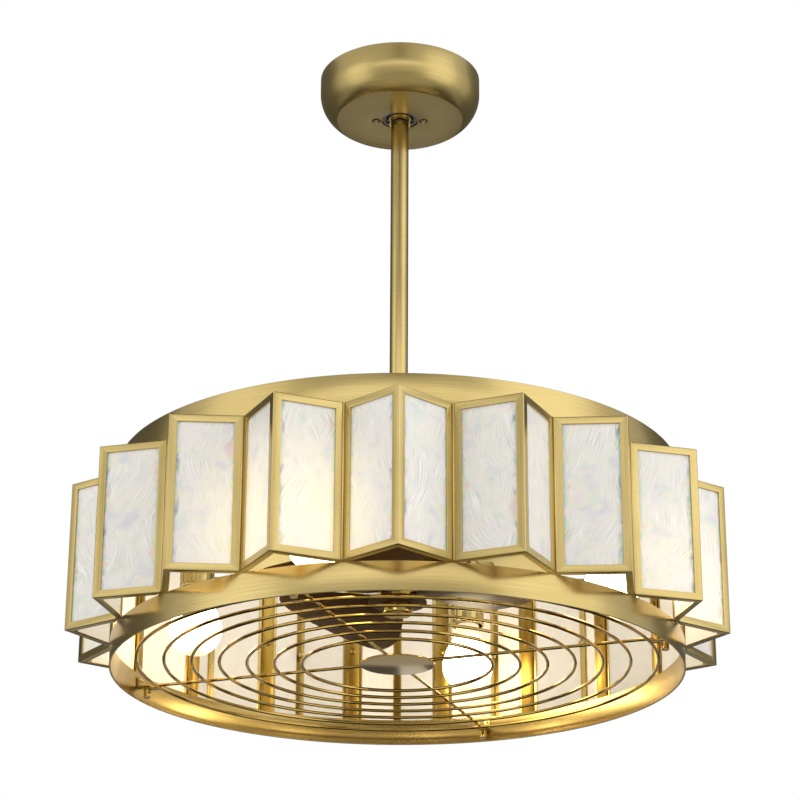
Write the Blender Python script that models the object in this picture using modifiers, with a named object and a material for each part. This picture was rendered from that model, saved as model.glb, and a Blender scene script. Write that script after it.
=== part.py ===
# Chandelier ceiling fan: a drum of framed glass panels folded in a zigzag round a caged three blade fan.
# Metres, +Z up. The origin is the centre of the ceiling bracket's top face, and everything hangs below it.
# Directions round the axis are azimuths in degrees: 0 points along -Y and 90 along +X.

import math

import bmesh
import bpy
from mathutils import Matrix, Vector

mm = 0.001

# Shared clearances: between pieces that rest on each other, how far a cutter runs past what it cuts,
# and how close two corners are before they are one
seat_gap = 0.3 * mm
overrun = 2 * mm
merge_distance = 0.01 * mm

# Ceiling bracket
bracket_length = 112 * mm
bracket_width = 40 * mm
bracket_plate = 2.5 * mm
bracket_floor = 3 * mm
bracket_leg_reach = 34 * mm
bracket_leg_wall = 2 * mm
bracket_slot_length = 18 * mm
bracket_slot_width = 5.5 * mm
bracket_slot_reach = 45 * mm
bracket_throat_room = 2 * mm

# Canopy and its two screws
canopy_radius = 96.5 * mm
canopy_height = 54.5 * mm
canopy_straight = 20 * mm
canopy_flat_radius = 76 * mm
canopy_wall = 1.5 * mm
canopy_hole_radius = 22 * mm
canopy_screw_reach = 28.5 * mm
canopy_screw_radius = 2 * mm
canopy_screw_head_radius = 4 * mm
canopy_screw_head_height = 2.2 * mm
canopy_screw_slot_width = 1 * mm
canopy_screw_slot_depth = 0.9 * mm
canopy_screw_dome_share = 0.3

# Hanger ball, its pin and the downrod
ball_radius = 22 * mm
ball_drop = 36 * mm
ball_top_flat = 18 * mm
ball_bottom_flat = 16 * mm
rod_radius = 10.65 * mm
rod_wall = 2 * mm
rod_length = 511 * mm
pin_radius = 2.5 * mm
pin_length = 36 * mm
rod_above_pin = 3.6 * mm

# Coupling between the rod and the motor
coupling_height = 50.9 * mm
coupling_top_radius = 16 * mm
coupling_base_radius = 30 * mm
coupling_base_height = 6 * mm
coupling_neck_height = 26 * mm
rod_socket_depth = 35 * mm

# Drum: two plain rings with a zigzag of framed panels between them. The rings' radius sizes the whole drum:
# the zigzag stands off it, and the lamps, blades, grille and clips are placed in from it
ring_radius = 319 * mm
ring_wall = 2 * mm
ridge_count = 18
panel_standoff = 2.4 * mm
fold_reach = 48.6 * mm
lower_ring_height = 31 * mm
upper_ring_height = 31.8 * mm
panel_height = 170 * mm
panel_depth = 8 * mm
panel_lip = 1.5 * mm
stile_width = 9 * mm
rail_height = 8.2 * mm
glass_overlap = 2.5 * mm
glass_thickness = 3 * mm
strip_count = 6

# Posts that tie the rings together behind every valley
post_width = 15.6 * mm
post_wall = 2 * mm
foot_height = 3.8 * mm
foot_inset = 0.7 * mm

# Arms that carry the drum and the lamps
arm_count = 4
first_arm_azimuth = -20
arm_rise = 5.5 * mm
arm_width = 22 * mm
arm_thickness = 4 * mm
arm_root = 40 * mm
arm_tab_height = 21 * mm
arm_tab_wall = 3 * mm
hub_plate_radius = 62 * mm

# Lamps
lamp_inset = 69 * mm
lamp_neck_radius = 5 * mm
lamp_neck_length = 29 * mm
holder_radius = 20 * mm
holder_height = 51 * mm
holder_wall = 1.5 * mm
holder_roof = 4 * mm
holder_shoulder = 3 * mm
socket_wall = 1.7 * mm
socket_depth = 25 * mm
socket_recess = 4 * mm
bulb_cap_radius = 13.2 * mm
bulb_cap_length = 26 * mm
bulb_cap_tip_radius = 4.5 * mm
bulb_cap_taper = 4 * mm
bulb_neck_radius = 14 * mm
bulb_neck_length = 6 * mm
bulb_length = 80.5 * mm
bulb_globe_radius = 30.5 * mm
bulb_cap_start = 2 * mm
bulb_meet_angle = 25
flare_shares = (0.25, 0.5, 0.75)
flare_softness_share = 0.6

# Motor and rotor
motor_radius = 78 * mm
motor_height = 88.8 * mm
motor_top_round = 8 * mm
motor_foot_radius = 64 * mm
motor_foot_height = 16 * mm
shaft_radius = 6.5 * mm
shaft_length = 28 * mm
shaft_end_room = 2 * mm
rotor_neck_radius = 23 * mm
rotor_neck_height = 31.4 * mm
blade_plate_radius = 33 * mm
blade_plate_thickness = 3.3 * mm
cap_radius = 17 * mm
cap_height = 12.4 * mm
cap_round = 2.5 * mm

# Blades: broad petals, low at the leading edge
blade_count = 3
first_blade_azimuth = 216
blade_reach_share = 0.596
blade_span = 80
blade_pitch = 7.3
blade_thickness = 3 * mm
blade_drop = 21.8 * mm

# A blade's outline from its leading root round the tip to the trailing root, as shares of the radius and the span
blade_outline_shares = ((0.19, -0.1), (0.3, -0.05), (0.45, -0.01), (0.667, 0.025), (0.778, 0.038), (0.852, 0.062),
                        (0.91, 0.08), (0.958, 0.1), (0.989, 0.12), (1.0, 0.14), (0.995, 0.169), (0.976, 0.206),
                        (0.947, 0.25), (0.915, 0.313), (0.88, 0.388), (0.844, 0.488), (0.823, 0.6), (0.807, 0.713),
                        (0.801, 0.8), (0.791, 0.875), (0.767, 0.925), (0.73, 0.969), (0.677, 0.994), (0.582, 1.0),
                        (0.407, 1.0), (0.265, 0.925), (0.19, 0.86))
blade_root_shares = (0.8, 0.65, 0.5, 0.35, 0.2, 0.05)

# Grille, its clips and thumb screws
grille_rise = 11.5 * mm
grille_pitch = 30.6 * mm
grille_ring_count = 7
grille_wire_radius = 2 * mm
grille_spoke_radius = 2 * mm
grille_weld = 0.6 * mm
grille_disc_radius = 41.6 * mm
grille_disc_thickness = 1.5 * mm
spoke_root = 30 * mm
spoke_on_tab = 4 * mm
tab_beyond_ring = 0.4 * mm
tab_inset = 6 * mm
tab_length = 21 * mm
tab_width = 9 * mm
tab_thickness = 2.4 * mm
tab_drop = 0.7 * mm
thumb_inset = 11 * mm
thumb_head_radius = 4.25 * mm
thumb_head_height = 9.7 * mm
thumb_shank_radius = 1.6 * mm
thumb_shank_clearance = 0.5 * mm
thumb_shank_stand = 4 * mm
clip_width = 12 * mm
clip_wall = 1.8 * mm
clip_height = 12 * mm
clip_reach = 16 * mm

# Facet counts
ring_steps = 72
round_steps = 32
small_steps = 12
grille_steps = 36
wire_sides = 5
canopy_steps = 36
lamp_steps = 16
rod_steps = 24
canopy_arc_steps = 5
ball_arc_steps = 9
globe_arc_steps = 7
motor_arc_steps = 4
cap_arc_steps = 3

# Radii that follow from the sizes above
ring_inner_radius = ring_radius - ring_wall
valley_radius = ring_radius + panel_standoff
ridge_radius = valley_radius + fold_reach
lamp_reach = ring_inner_radius - lamp_inset
blade_radius = blade_reach_share * ring_inner_radius
tab_end = ring_inner_radius - tab_inset
tab_root = tab_end - tab_length
spoke_end = tab_root + spoke_on_tab
grille_outer_radius = tab_root - tab_beyond_ring
thumb_reach = ring_inner_radius - thumb_inset
clip_end = ring_inner_radius - clip_reach
bore_radius = rod_radius + seat_gap

# Heights that follow from the sizes above
ball_z = -ball_drop
pin_z = ball_z + ball_top_flat + seat_gap + pin_radius
rod_top_z = pin_z + pin_radius + rod_above_pin
rod_bottom_z = rod_top_z - rod_length
coupling_top_z = rod_bottom_z - seat_gap + rod_socket_depth
coupling_bottom_z = coupling_top_z - coupling_height
arm_top_z = coupling_bottom_z - seat_gap
arm_bottom_z = arm_top_z - arm_thickness
upper_ring_bottom_z = arm_bottom_z - arm_rise
upper_ring_top_z = upper_ring_bottom_z + upper_ring_height
panel_top_z = upper_ring_bottom_z - seat_gap
panel_bottom_z = panel_top_z - panel_height
lower_ring_top_z = panel_bottom_z - seat_gap
rim_z = lower_ring_top_z - lower_ring_height
motor_top_z = arm_bottom_z - seat_gap
motor_bottom_z = motor_top_z - motor_height
rotor_neck_top_z = motor_bottom_z - seat_gap
rotor_neck_bottom_z = rotor_neck_top_z - rotor_neck_height
blade_plate_top_z = rotor_neck_bottom_z - seat_gap
blade_plate_bottom_z = blade_plate_top_z - blade_plate_thickness
cap_top_z = blade_plate_bottom_z - seat_gap
blade_z = rotor_neck_top_z - blade_drop
holder_top_z = arm_bottom_z - seat_gap - lamp_neck_length
holder_mouth_z = holder_top_z - holder_height
grille_wire_z = rim_z + grille_rise
spoke_z = grille_wire_z + grille_wire_radius + grille_spoke_radius - grille_weld
tab_bottom_z = grille_wire_z - tab_drop
tab_top_z = tab_bottom_z + tab_thickness
clip_bottom_z = tab_top_z + seat_gap


def remove_everything():
    for item in list(bpy.data.objects):
        bpy.data.objects.remove(item, do_unlink=True)


def new_collection(name):
    group = bpy.data.collections.new(name)
    bpy.context.scene.collection.children.link(group)
    return group


def make_material(name, colour, metallic, roughness, transmission=0.0):
    material = bpy.data.materials.new(name)
    material.use_nodes = True
    shader = material.node_tree.nodes["Principled BSDF"]
    shader.inputs["Base Color"].default_value = (*colour, 1.0)
    shader.inputs["Metallic"].default_value = metallic
    shader.inputs["Roughness"].default_value = roughness
    shader.inputs["Transmission Weight"].default_value = transmission
    return material


def polar(radius, azimuth, z=0.0):
    angle = math.radians(azimuth)
    return Vector((radius * math.sin(angle), -radius * math.cos(angle), z))


def smooth(mesh):
    mesh.shade_smooth()
    mesh.set_sharp_from_angle(angle=math.radians(35))


def place(name, mesh, material, location=(0, 0, 0), rotation=(0, 0, 0), parent=None, group=None):
    item = bpy.data.objects.new(name, mesh)
    (group or parts).objects.link(item)
    item.location = location
    item.rotation_euler = rotation
    item.parent = parent
    if material is not None:
        mesh.materials.clear()
        mesh.materials.append(material)
    return item


def tool(name, mesh, location=(0, 0, 0), rotation=(0, 0, 0)):
    item = place(name, mesh, None, location, rotation, group=cutters)
    item.hide_render = True
    item.display_type = "WIRE"
    return item


def combine(item, other, operation):
    step = item.modifiers.new(operation.lower() + "_" + other.name, "BOOLEAN")
    step.operation = operation
    step.solver = "EXACT"
    step.object = other


def cut(item, other):
    combine(item, other, "DIFFERENCE")


def unite(item, other):
    combine(item, other, "UNION")


def evaluated(item):
    # the object's shape with its modifiers, as a plain mesh, and the object is removed
    graph = bpy.context.evaluated_depsgraph_get()
    mesh = bpy.data.meshes.new_from_object(item.evaluated_get(graph))
    work = bmesh.new()
    work.from_mesh(mesh)
    bmesh.ops.remove_doubles(work, verts=work.verts, dist=merge_distance)
    work.to_mesh(mesh)
    work.free()
    mesh.transform(item.matrix_world)
    mesh.name = item.name
    bpy.data.objects.remove(item, do_unlink=True)
    return mesh


def turned(name, profile, closed=False, steps=round_steps):
    # profile: (radius, height) points that run down the outer side
    mesh = bpy.data.meshes.new(name)
    points = [(radius, 0, height) for radius, height in profile]
    edges = [(index, index + 1) for index in range(len(points) - 1)]
    if closed:
        edges.append((len(points) - 1, 0))
    mesh.from_pydata(points, edges, [])
    item = place(name + "_profile", mesh, None)
    screw = item.modifiers.new("turn", "SCREW")
    screw.axis = "Z"
    screw.steps = steps
    screw.render_steps = steps
    screw.use_merge_vertices = True
    screw.merge_threshold = merge_distance
    screw.use_smooth_shade = True
    bpy.context.view_layer.update()
    result = evaluated(item)
    smooth(result)
    return result


def arc(centre, radius, start, end, count):
    # points on a circle in the profile plane, angles in degrees from outward, positive upwards
    points = []
    for index in range(count + 1):
        angle = math.radians(start + (end - start) * index / count)
        points.append((centre[0] + radius * math.cos(angle), centre[1] + radius * math.sin(angle)))
    return points


def cylinder(name, radius, height, steps=round_steps):
    # a solid cylinder centred on its own origin, along Z
    work = bmesh.new()
    bmesh.ops.create_cone(work, cap_ends=True, segments=steps, radius1=radius, radius2=radius, depth=height)
    mesh = bpy.data.meshes.new(name)
    work.to_mesh(mesh)
    work.free()
    smooth(mesh)
    return mesh


def box(name, size):
    work = bmesh.new()
    bmesh.ops.create_cube(work, size=1.0)
    bmesh.ops.scale(work, vec=size, verts=work.verts)
    mesh = bpy.data.meshes.new(name)
    work.to_mesh(mesh)
    work.free()
    return mesh


def flat_shape(name, points, thickness):
    # a plate with the given outline in XY, centred on its own origin in Z
    curve = bpy.data.curves.new(name, "CURVE")
    curve.dimensions = "2D"
    curve.fill_mode = "BOTH"
    curve.extrude = thickness / 2
    line = curve.splines.new("POLY")
    line.points.add(len(points) - 1)
    for spot, point in zip(line.points, points):
        spot.co = (point[0], point[1], 0, 1)
    line.use_cyclic_u = True
    item = place(name + "_outline", curve, None)
    bpy.context.view_layer.update()
    mesh = evaluated(item)
    bpy.data.curves.remove(curve)
    return mesh


def upright_shape(name, points, thickness):
    # a plate whose outline is given as (reach, height), standing in the plane through the axis at azimuth 0
    mesh = flat_shape(name, points, thickness)
    mesh.transform(Matrix(((0, 0, -1, 0), (-1, 0, 0, 0), (0, 1, 0, 0), (0, 0, 0, 1))))
    return mesh


def rod_along(name, start, end, radius, sides=wire_sides):
    # a straight round wire between two points
    mesh = cylinder(name, radius, (end - start).length, sides)
    turn = (end - start).to_track_quat("Z", "Y").to_matrix().to_4x4()
    mesh.transform(Matrix.Translation((start + end) / 2) @ turn)
    return mesh


def joined(name, meshes):
    work = bmesh.new()
    for mesh in meshes:
        work.from_mesh(mesh)
    result = bpy.data.meshes.new(name)
    work.to_mesh(result)
    work.free()
    return result


def spun(mesh, azimuth):
    copy = mesh.copy()
    copy.transform(Matrix.Rotation(math.radians(azimuth), 4, "Z"))
    return copy


# Ceiling fitting
def make_bracket():
    floor_z = -canopy_height + canopy_wall + seat_gap
    floor_top = floor_z + bracket_floor
    leg_middle = bracket_leg_reach + bracket_leg_wall / 2
    bracket = place("ceiling_bracket", box("ceiling_bracket", (bracket_length, bracket_width, bracket_plate)),
                    steel, (0, 0, -bracket_plate / 2))
    floor_length = 2 * (bracket_leg_reach + bracket_leg_wall)
    floor = tool("bracket_floor", box("bracket_floor", (floor_length, bracket_width, bracket_floor)),
                 (0, 0, floor_z + bracket_floor / 2))
    leg_height = -floor_z
    for side in (-1, 1):
        leg = tool("bracket_leg", box("bracket_leg", (bracket_leg_wall, bracket_width, leg_height)),
                   (side * leg_middle, 0, floor_z + leg_height / 2))
        unite(bracket, leg)
    unite(bracket, floor)
    # the ball sits in a round seat that is open to the back, where the rod goes in
    seat_depth = ball_z - floor_top
    seat_radius = math.sqrt((ball_radius + seat_gap) ** 2 - seat_depth ** 2)
    seat = tool("bracket_seat", cylinder("bracket_seat", seat_radius, bracket_floor + 2 * overrun),
                (0, 0, floor_z + bracket_floor / 2))
    throat_width = 2 * (rod_radius + bracket_throat_room)
    throat = tool("bracket_throat", box("bracket_throat", (throat_width, bracket_width, bracket_floor + 2 * overrun)),
                  (0, bracket_width / 2, floor_z + bracket_floor / 2))
    cut(bracket, seat)
    cut(bracket, throat)
    for side in (-1, 1):
        thread = tool("bracket_thread", cylinder("bracket_thread", canopy_screw_radius + seat_gap,
                      bracket_floor + 2 * overrun, small_steps),
                      (side * canopy_screw_reach, 0, floor_z + bracket_floor / 2))
        slot = tool("bracket_slot", box("bracket_slot", (bracket_slot_width, bracket_slot_length,
                    bracket_plate + 2 * overrun)), (side * bracket_slot_reach, 0, -bracket_plate / 2))
        cut(bracket, thread)
        cut(bracket, slot)


def make_canopy():
    # below its straight wall the bowl is one arc, which meets the flat underside at an edge
    inset = canopy_radius - canopy_flat_radius
    depth = canopy_height - canopy_straight
    bowl = (inset ** 2 + depth ** 2) / (2 * inset)
    centre = (canopy_radius - bowl, -canopy_straight)
    inner = bowl - canopy_wall
    outer_turn = math.degrees(math.asin(depth / bowl))
    inner_turn = math.degrees(math.asin((depth - canopy_wall) / inner))
    profile = [(canopy_radius, 0)]
    profile += arc(centre, bowl, 0, -outer_turn, canopy_arc_steps)
    profile += [(canopy_hole_radius, -canopy_height), (canopy_hole_radius, -canopy_height + canopy_wall)]
    profile += arc(centre, inner, -inner_turn, 0, canopy_arc_steps)
    profile += [(canopy_radius - canopy_wall, 0)]
    canopy = place("canopy", turned("canopy", profile, closed=True, steps=canopy_steps), brass)
    for side, word in ((-1, "left"), (1, "right")):
        hole = tool("canopy_screw_hole_" + word, cylinder("canopy_screw_hole", canopy_screw_radius + seat_gap,
                    canopy_wall + 2 * overrun, small_steps),
                    (side * canopy_screw_reach, 0, -canopy_height + canopy_wall / 2))
        cut(canopy, hole)
        make_canopy_screw("canopy_screw_" + word, side * canopy_screw_reach)


def make_canopy_screw(name, reach):
    head_top = -canopy_height - seat_gap
    head_bottom = head_top - canopy_screw_head_height
    tip_z = -canopy_height + canopy_wall + seat_gap + bracket_floor + overrun
    dome = canopy_screw_head_radius * canopy_screw_dome_share
    profile = [(0, tip_z), (canopy_screw_radius, tip_z), (canopy_screw_radius, head_top),
               (canopy_screw_head_radius, head_top), (canopy_screw_head_radius, head_bottom + dome),
               (canopy_screw_head_radius - dome, head_bottom), (0, head_bottom)]
    screw = place(name, turned(name, profile, steps=small_steps), brass, (reach, 0, 0))
    slot_size = (2 * (canopy_screw_head_radius + overrun), canopy_screw_slot_width, 2 * canopy_screw_slot_depth)
    slot = tool(name + "_slot", box(name + "_slot", slot_size), (reach, 0, head_bottom))
    cut(screw, slot)


# Rod and what holds it
def make_rod():
    top_angle = math.degrees(math.asin(ball_top_flat / ball_radius))
    bottom_angle = -math.degrees(math.asin(ball_bottom_flat / ball_radius))
    profile = arc((0, ball_z), ball_radius, top_angle, bottom_angle, ball_arc_steps)
    profile += [(bore_radius, ball_z - ball_bottom_flat), (bore_radius, ball_z + ball_top_flat)]
    place("hanger_ball", turned("hanger_ball", profile, closed=True, steps=rod_steps), black_plastic)

    pin = cylinder("hanger_pin", pin_radius, pin_length, small_steps)
    place("hanger_pin", pin, steel, (0, 0, pin_z), (0, math.radians(90), 0))

    inner = rod_radius - rod_wall
    profile = [(rod_radius, rod_top_z), (rod_radius, rod_bottom_z), (inner, rod_bottom_z), (inner, rod_top_z)]
    rod = place("downrod", turned("downrod", profile, closed=True, steps=rod_steps), brass)
    hole = tool("pin_hole", cylinder("pin_hole", pin_radius + seat_gap, pin_length, small_steps),
                (0, 0, pin_z), (0, math.radians(90), 0))
    cut(rod, hole)

    socket_z = coupling_top_z - rod_socket_depth
    neck_z = coupling_top_z - coupling_neck_height
    profile = [(0, socket_z), (bore_radius, socket_z), (bore_radius, coupling_top_z),
               (coupling_top_radius, coupling_top_z), (coupling_top_radius, neck_z),
               (coupling_base_radius, coupling_bottom_z + coupling_base_height),
               (coupling_base_radius, coupling_bottom_z), (0, coupling_bottom_z)]
    place("rod_coupling", turned("rod_coupling", profile), brass)


# Drum
def fold_line(depth, end_gap):
    # corner points of one folded panel pair, measured inwards from its outer face by depth:
    # its ridge and the ends at the two valleys, cut on the valley's plane less end_gap
    half_step = 180 / ridge_count
    ridge = polar(ridge_radius, 0)
    valley = polar(valley_radius, half_step)
    along = (valley - ridge).normalized()
    inward = Vector((-along.y, along.x, 0))
    if inward.dot(ridge) > 0:
        inward = -inward
    plane = Vector((math.cos(math.radians(half_step)), math.sin(math.radians(half_step)), 0))
    start = ridge + inward * depth
    ridge_point = start - along * (start.x / along.x)
    end = start + along * ((-end_gap - start.dot(plane)) / along.dot(plane))
    return Vector((-end.x, end.y, 0)), ridge_point, end


def make_panel_pair():
    # one folded pair of window frames as a mesh round the drum's axis at azimuth 0
    outer = fold_line(0, seat_gap / 2)
    inner = fold_line(panel_depth, seat_gap / 2)
    middle_z = (panel_top_z + panel_bottom_z) / 2
    body = flat_shape("panel_pair", list(outer) + list(reversed(inner)), panel_height)
    pair = place("panel_pair", body, None, (0, 0, middle_z))

    lip = fold_line(panel_lip, -overrun)
    back = fold_line(panel_depth + overrun, -overrun)
    pocket_height = panel_height - 2 * (rail_height - glass_overlap)
    pocket = flat_shape("panel_pocket", list(lip) + list(reversed(back)), pocket_height)
    cut(pair, tool("panel_pocket", pocket, (0, 0, middle_z)))

    ridge = polar(ridge_radius, 0)
    valley = polar(valley_radius, 180 / ridge_count)
    width = (valley - ridge).length - 2 * stile_width
    height = panel_height - 2 * rail_height
    slope = math.atan2(valley.y - ridge.y, valley.x - ridge.x)
    for side in (-1, 1):
        centre = (ridge + valley) / 2
        window = tool("panel_window", box("panel_window", (width, 2 * panel_depth, height)),
                      (side * centre.x, centre.y, middle_z), (0, 0, side * slope))
        cut(pair, window)
    bpy.context.view_layer.update()
    return evaluated(pair)


def make_panels():
    pair = make_panel_pair()
    step = 360 / ridge_count
    for index in range(ridge_count):
        place("panel_frame_%02d" % (index + 1), pair, brass, rotation=(0, 0, math.radians(index * step)))

    # the glass behind the lips, in strips of a few folds
    folds = ridge_count // strip_count
    front_depth = panel_lip + seat_gap
    back_depth = front_depth + glass_thickness
    front, back = [], []
    for fold in range(folds):
        turn = Matrix.Rotation(math.radians(fold * step), 4, "Z")
        for line, depth in ((front, front_depth), (back, back_depth)):
            left, ridge, right = fold_line(depth, 0)
            trimmed_left, ridge, trimmed_right = fold_line(depth, seat_gap / 2)
            line.append(turn @ (trimmed_left if fold == 0 else left))
            line.append(turn @ ridge)
            if fold == folds - 1:
                line.append(turn @ trimmed_right)
    height = panel_height - 2 * (rail_height - glass_overlap) - 2 * seat_gap
    strip = flat_shape("glass_strip", front + list(reversed(back)), height)
    middle_z = (panel_top_z + panel_bottom_z) / 2
    for index in range(strip_count):
        turn = math.radians(index * folds * step)
        place("glass_strip_%d" % (index + 1), strip, pearl_glass, (0, 0, middle_z), (0, 0, turn))


def ring_profile(bottom_z, height):
    top_z = bottom_z + height
    return [(ring_radius, top_z), (ring_radius, bottom_z), (ring_inner_radius, bottom_z), (ring_inner_radius, top_z)]


def make_drum_frame():
    frame = place("drum_frame", turned("drum_frame", ring_profile(rim_z, lower_ring_height), closed=True,
                  steps=ring_steps), brass)
    upper = tool("upper_ring", turned("upper_ring", ring_profile(upper_ring_bottom_z, upper_ring_height),
                 closed=True, steps=ring_steps))
    post_outer = fold_line(panel_depth, 0)[2].length - seat_gap
    post_inner = post_outer - post_wall
    foot_end = ring_inner_radius + ring_wall / 2
    low_top = lower_ring_top_z - foot_inset
    low_bottom = low_top - foot_height
    high_bottom = upper_ring_bottom_z + foot_inset
    high_top = high_bottom + foot_height
    outline = [(post_inner, low_bottom), (foot_end, low_bottom), (foot_end, low_top), (post_outer, low_top),
               (post_outer, high_bottom), (foot_end, high_bottom), (foot_end, high_top), (post_inner, high_top)]
    post = upright_shape("post", outline, post_width)
    step = 360 / ridge_count
    posts = joined("posts", [spun(post, (index + 0.5) * step) for index in range(ridge_count)])
    unite(frame, tool("posts", posts))
    unite(frame, upper)


def reach_to_wall(width):
    # how far out a straight piece of this width goes before it meets the ring's inner wall, which has flat facets
    facet = ring_inner_radius * math.cos(math.pi / ring_steps)
    return math.sqrt((facet - seat_gap) ** 2 - (width / 2) ** 2)


# Arms and lamps
def arm_azimuth(index):
    return first_arm_azimuth + index * 360 / arm_count


def make_arms():
    plate = place("lamp_arms", cylinder("lamp_arms", hub_plate_radius, arm_thickness), brass,
                  (0, 0, arm_bottom_z + arm_thickness / 2))
    end = reach_to_wall(arm_width)
    outline = [(arm_root, arm_bottom_z), (end, arm_bottom_z), (end, arm_bottom_z + arm_tab_height),
               (end - arm_tab_wall, arm_bottom_z + arm_tab_height), (end - arm_tab_wall, arm_top_z),
               (arm_root, arm_top_z)]
    arm = upright_shape("arm", outline, arm_width)
    for index in range(arm_count):
        unite(plate, tool("arm_%d" % (index + 1), spun(arm, arm_azimuth(index))))


def holder_mesh():
    # heights are measured from the holder's mouth
    neck_top = holder_height + lamp_neck_length
    socket_inner = bulb_cap_radius + seat_gap
    socket_outer = socket_inner + socket_wall
    roof = holder_height - holder_roof
    socket_end = socket_recess + socket_depth
    profile = [(0, neck_top), (lamp_neck_radius, neck_top), (lamp_neck_radius, holder_height),
               (holder_radius - holder_shoulder, holder_height), (holder_radius, holder_height - holder_shoulder),
               (holder_radius, 0), (holder_radius - holder_wall, 0), (holder_radius - holder_wall, roof),
               (socket_outer, roof), (socket_outer, socket_recess), (socket_inner, socket_recess),
               (socket_inner, socket_end), (0, socket_end)]
    return turned("lamp_holder", profile, steps=lamp_steps)


def bulb_mesh():
    # heights are measured from the holder's mouth, the same origin as the holder's
    cap_top = bulb_cap_length + bulb_cap_start
    globe_z = bulb_globe_radius - bulb_length
    neck_z = -bulb_neck_length
    profile = [(0, cap_top), (bulb_cap_tip_radius, cap_top), (bulb_cap_radius, cap_top - bulb_cap_taper),
               (bulb_cap_radius, bulb_cap_start), (bulb_neck_radius, bulb_cap_start - seat_gap),
               (bulb_neck_radius, neck_z)]
    meet_radius = bulb_globe_radius * math.cos(math.radians(bulb_meet_angle))
    meet_z = globe_z + bulb_globe_radius * math.sin(math.radians(bulb_meet_angle))
    for share in flare_shares:
        swell = share * share * (3 - 2 * share)
        blend = share + (swell - share) * flare_softness_share
        profile.append((bulb_neck_radius + (meet_radius - bulb_neck_radius) * blend,
                        neck_z + (meet_z - neck_z) * share))
    profile += arc((0, globe_z), bulb_globe_radius, bulb_meet_angle, -90, globe_arc_steps)
    return turned("bulb", profile, steps=lamp_steps)


def make_lamps():
    holder = holder_mesh()
    bulb = bulb_mesh()
    for index in range(arm_count):
        spot = polar(lamp_reach, arm_azimuth(index), holder_mouth_z)
        place("lamp_holder_%d" % (index + 1), holder, brass, spot)
        place("bulb_%d" % (index + 1), bulb, warm_glass, spot)


# Motor and rotor
def make_motor():
    shaft_bore = shaft_radius + seat_gap
    bore_top = motor_bottom_z + shaft_length + shaft_end_room
    profile = [(0, motor_top_z)]
    profile += arc((motor_radius - motor_top_round, motor_top_z - motor_top_round), motor_top_round, 90, 0,
                   motor_arc_steps)
    profile += [(motor_radius, motor_bottom_z + motor_foot_height), (motor_foot_radius, motor_bottom_z),
                (shaft_bore, motor_bottom_z), (shaft_bore, bore_top), (0, bore_top)]
    place("motor_housing", turned("motor_housing", profile), motor_casting)


def blade_mesh():
    points = []
    for radius_share, turn_share in blade_outline_shares:
        points.append(polar(blade_radius * radius_share, blade_span * (turn_share - 0.5)))
    root = rotor_neck_radius + 2 * seat_gap
    for turn_share in blade_root_shares:
        points.append(polar(root, blade_span * (turn_share - 0.5)))
    return flat_shape("blade", points, blade_thickness)


def make_rotor():
    axis = bpy.data.objects.new("rotor_axis", None)
    parts.objects.link(axis)
    axis.location = (0, 0, rotor_neck_bottom_z)
    profile = [(0, motor_bottom_z + shaft_length), (shaft_radius, motor_bottom_z + shaft_length),
               (shaft_radius, rotor_neck_top_z), (rotor_neck_radius, rotor_neck_top_z),
               (rotor_neck_radius, rotor_neck_bottom_z), (0, rotor_neck_bottom_z)]
    hub = [(radius, height - rotor_neck_bottom_z) for radius, height in profile]
    place("rotor_hub", turned("rotor_hub", hub), brass, parent=axis)
    plate_middle = (blade_plate_top_z + blade_plate_bottom_z) / 2
    place("blade_plate", cylinder("blade_plate", blade_plate_radius, blade_plate_thickness), dark_brown,
          (0, 0, plate_middle - rotor_neck_bottom_z), parent=axis)
    cap = [(0, 0), (cap_radius, 0)]
    cap += arc((cap_radius - cap_round, cap_round - cap_height), cap_round, 0, -90, cap_arc_steps)
    cap += [(0, -cap_height)]
    place("hub_cap", turned("hub_cap", cap, steps=rod_steps), brass,
          (0, 0, cap_top_z - rotor_neck_bottom_z), parent=axis)
    blade = blade_mesh()
    for index in range(blade_count):
        azimuth = first_blade_azimuth + index * 360 / blade_count
        turn = (0, -math.radians(blade_pitch), math.radians(azimuth))
        place("blade_%d" % (index + 1), blade, dark_brown, (0, 0, blade_z - rotor_neck_bottom_z), turn, axis)


# Grille
def make_grille():
    disc_top = spoke_z - grille_spoke_radius + grille_weld
    grille = place("grille", cylinder("grille", grille_disc_radius, grille_disc_thickness, rod_steps), brass,
                   (0, 0, disc_top - grille_disc_thickness / 2))
    tab_middle_z = tab_bottom_z + tab_thickness / 2
    for index in range(arm_count):
        azimuth = arm_azimuth(index)
        spoke = rod_along("spoke", polar(spoke_root, azimuth, spoke_z), polar(spoke_end, azimuth, spoke_z),
                          grille_spoke_radius)
        tab = tool("tab", box("tab", (tab_width, tab_end - tab_root, tab_thickness)),
                   polar((tab_root + tab_end) / 2, azimuth, tab_middle_z), (0, 0, math.radians(azimuth)))
        unite(grille, tool("spoke", spoke))
        unite(grille, tab)
    for index in range(grille_ring_count):
        radius = grille_outer_radius - index * grille_pitch
        bpy.ops.mesh.primitive_torus_add(major_segments=grille_steps, minor_segments=wire_sides,
                                         major_radius=radius, minor_radius=grille_wire_radius)
        ring = bpy.context.active_object
        wire = ring.data
        bpy.data.objects.remove(ring, do_unlink=True)
        unite(grille, tool("grille_ring_%d" % (index + 1), wire, (0, 0, grille_wire_z)))
    for index in range(arm_count):
        hole = cylinder("tab_hole", thumb_shank_radius + thumb_shank_clearance, tab_thickness + 2 * overrun,
                        small_steps)
        cut(grille, tool("tab_hole", hole, polar(thumb_reach, arm_azimuth(index), tab_middle_z)))


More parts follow.
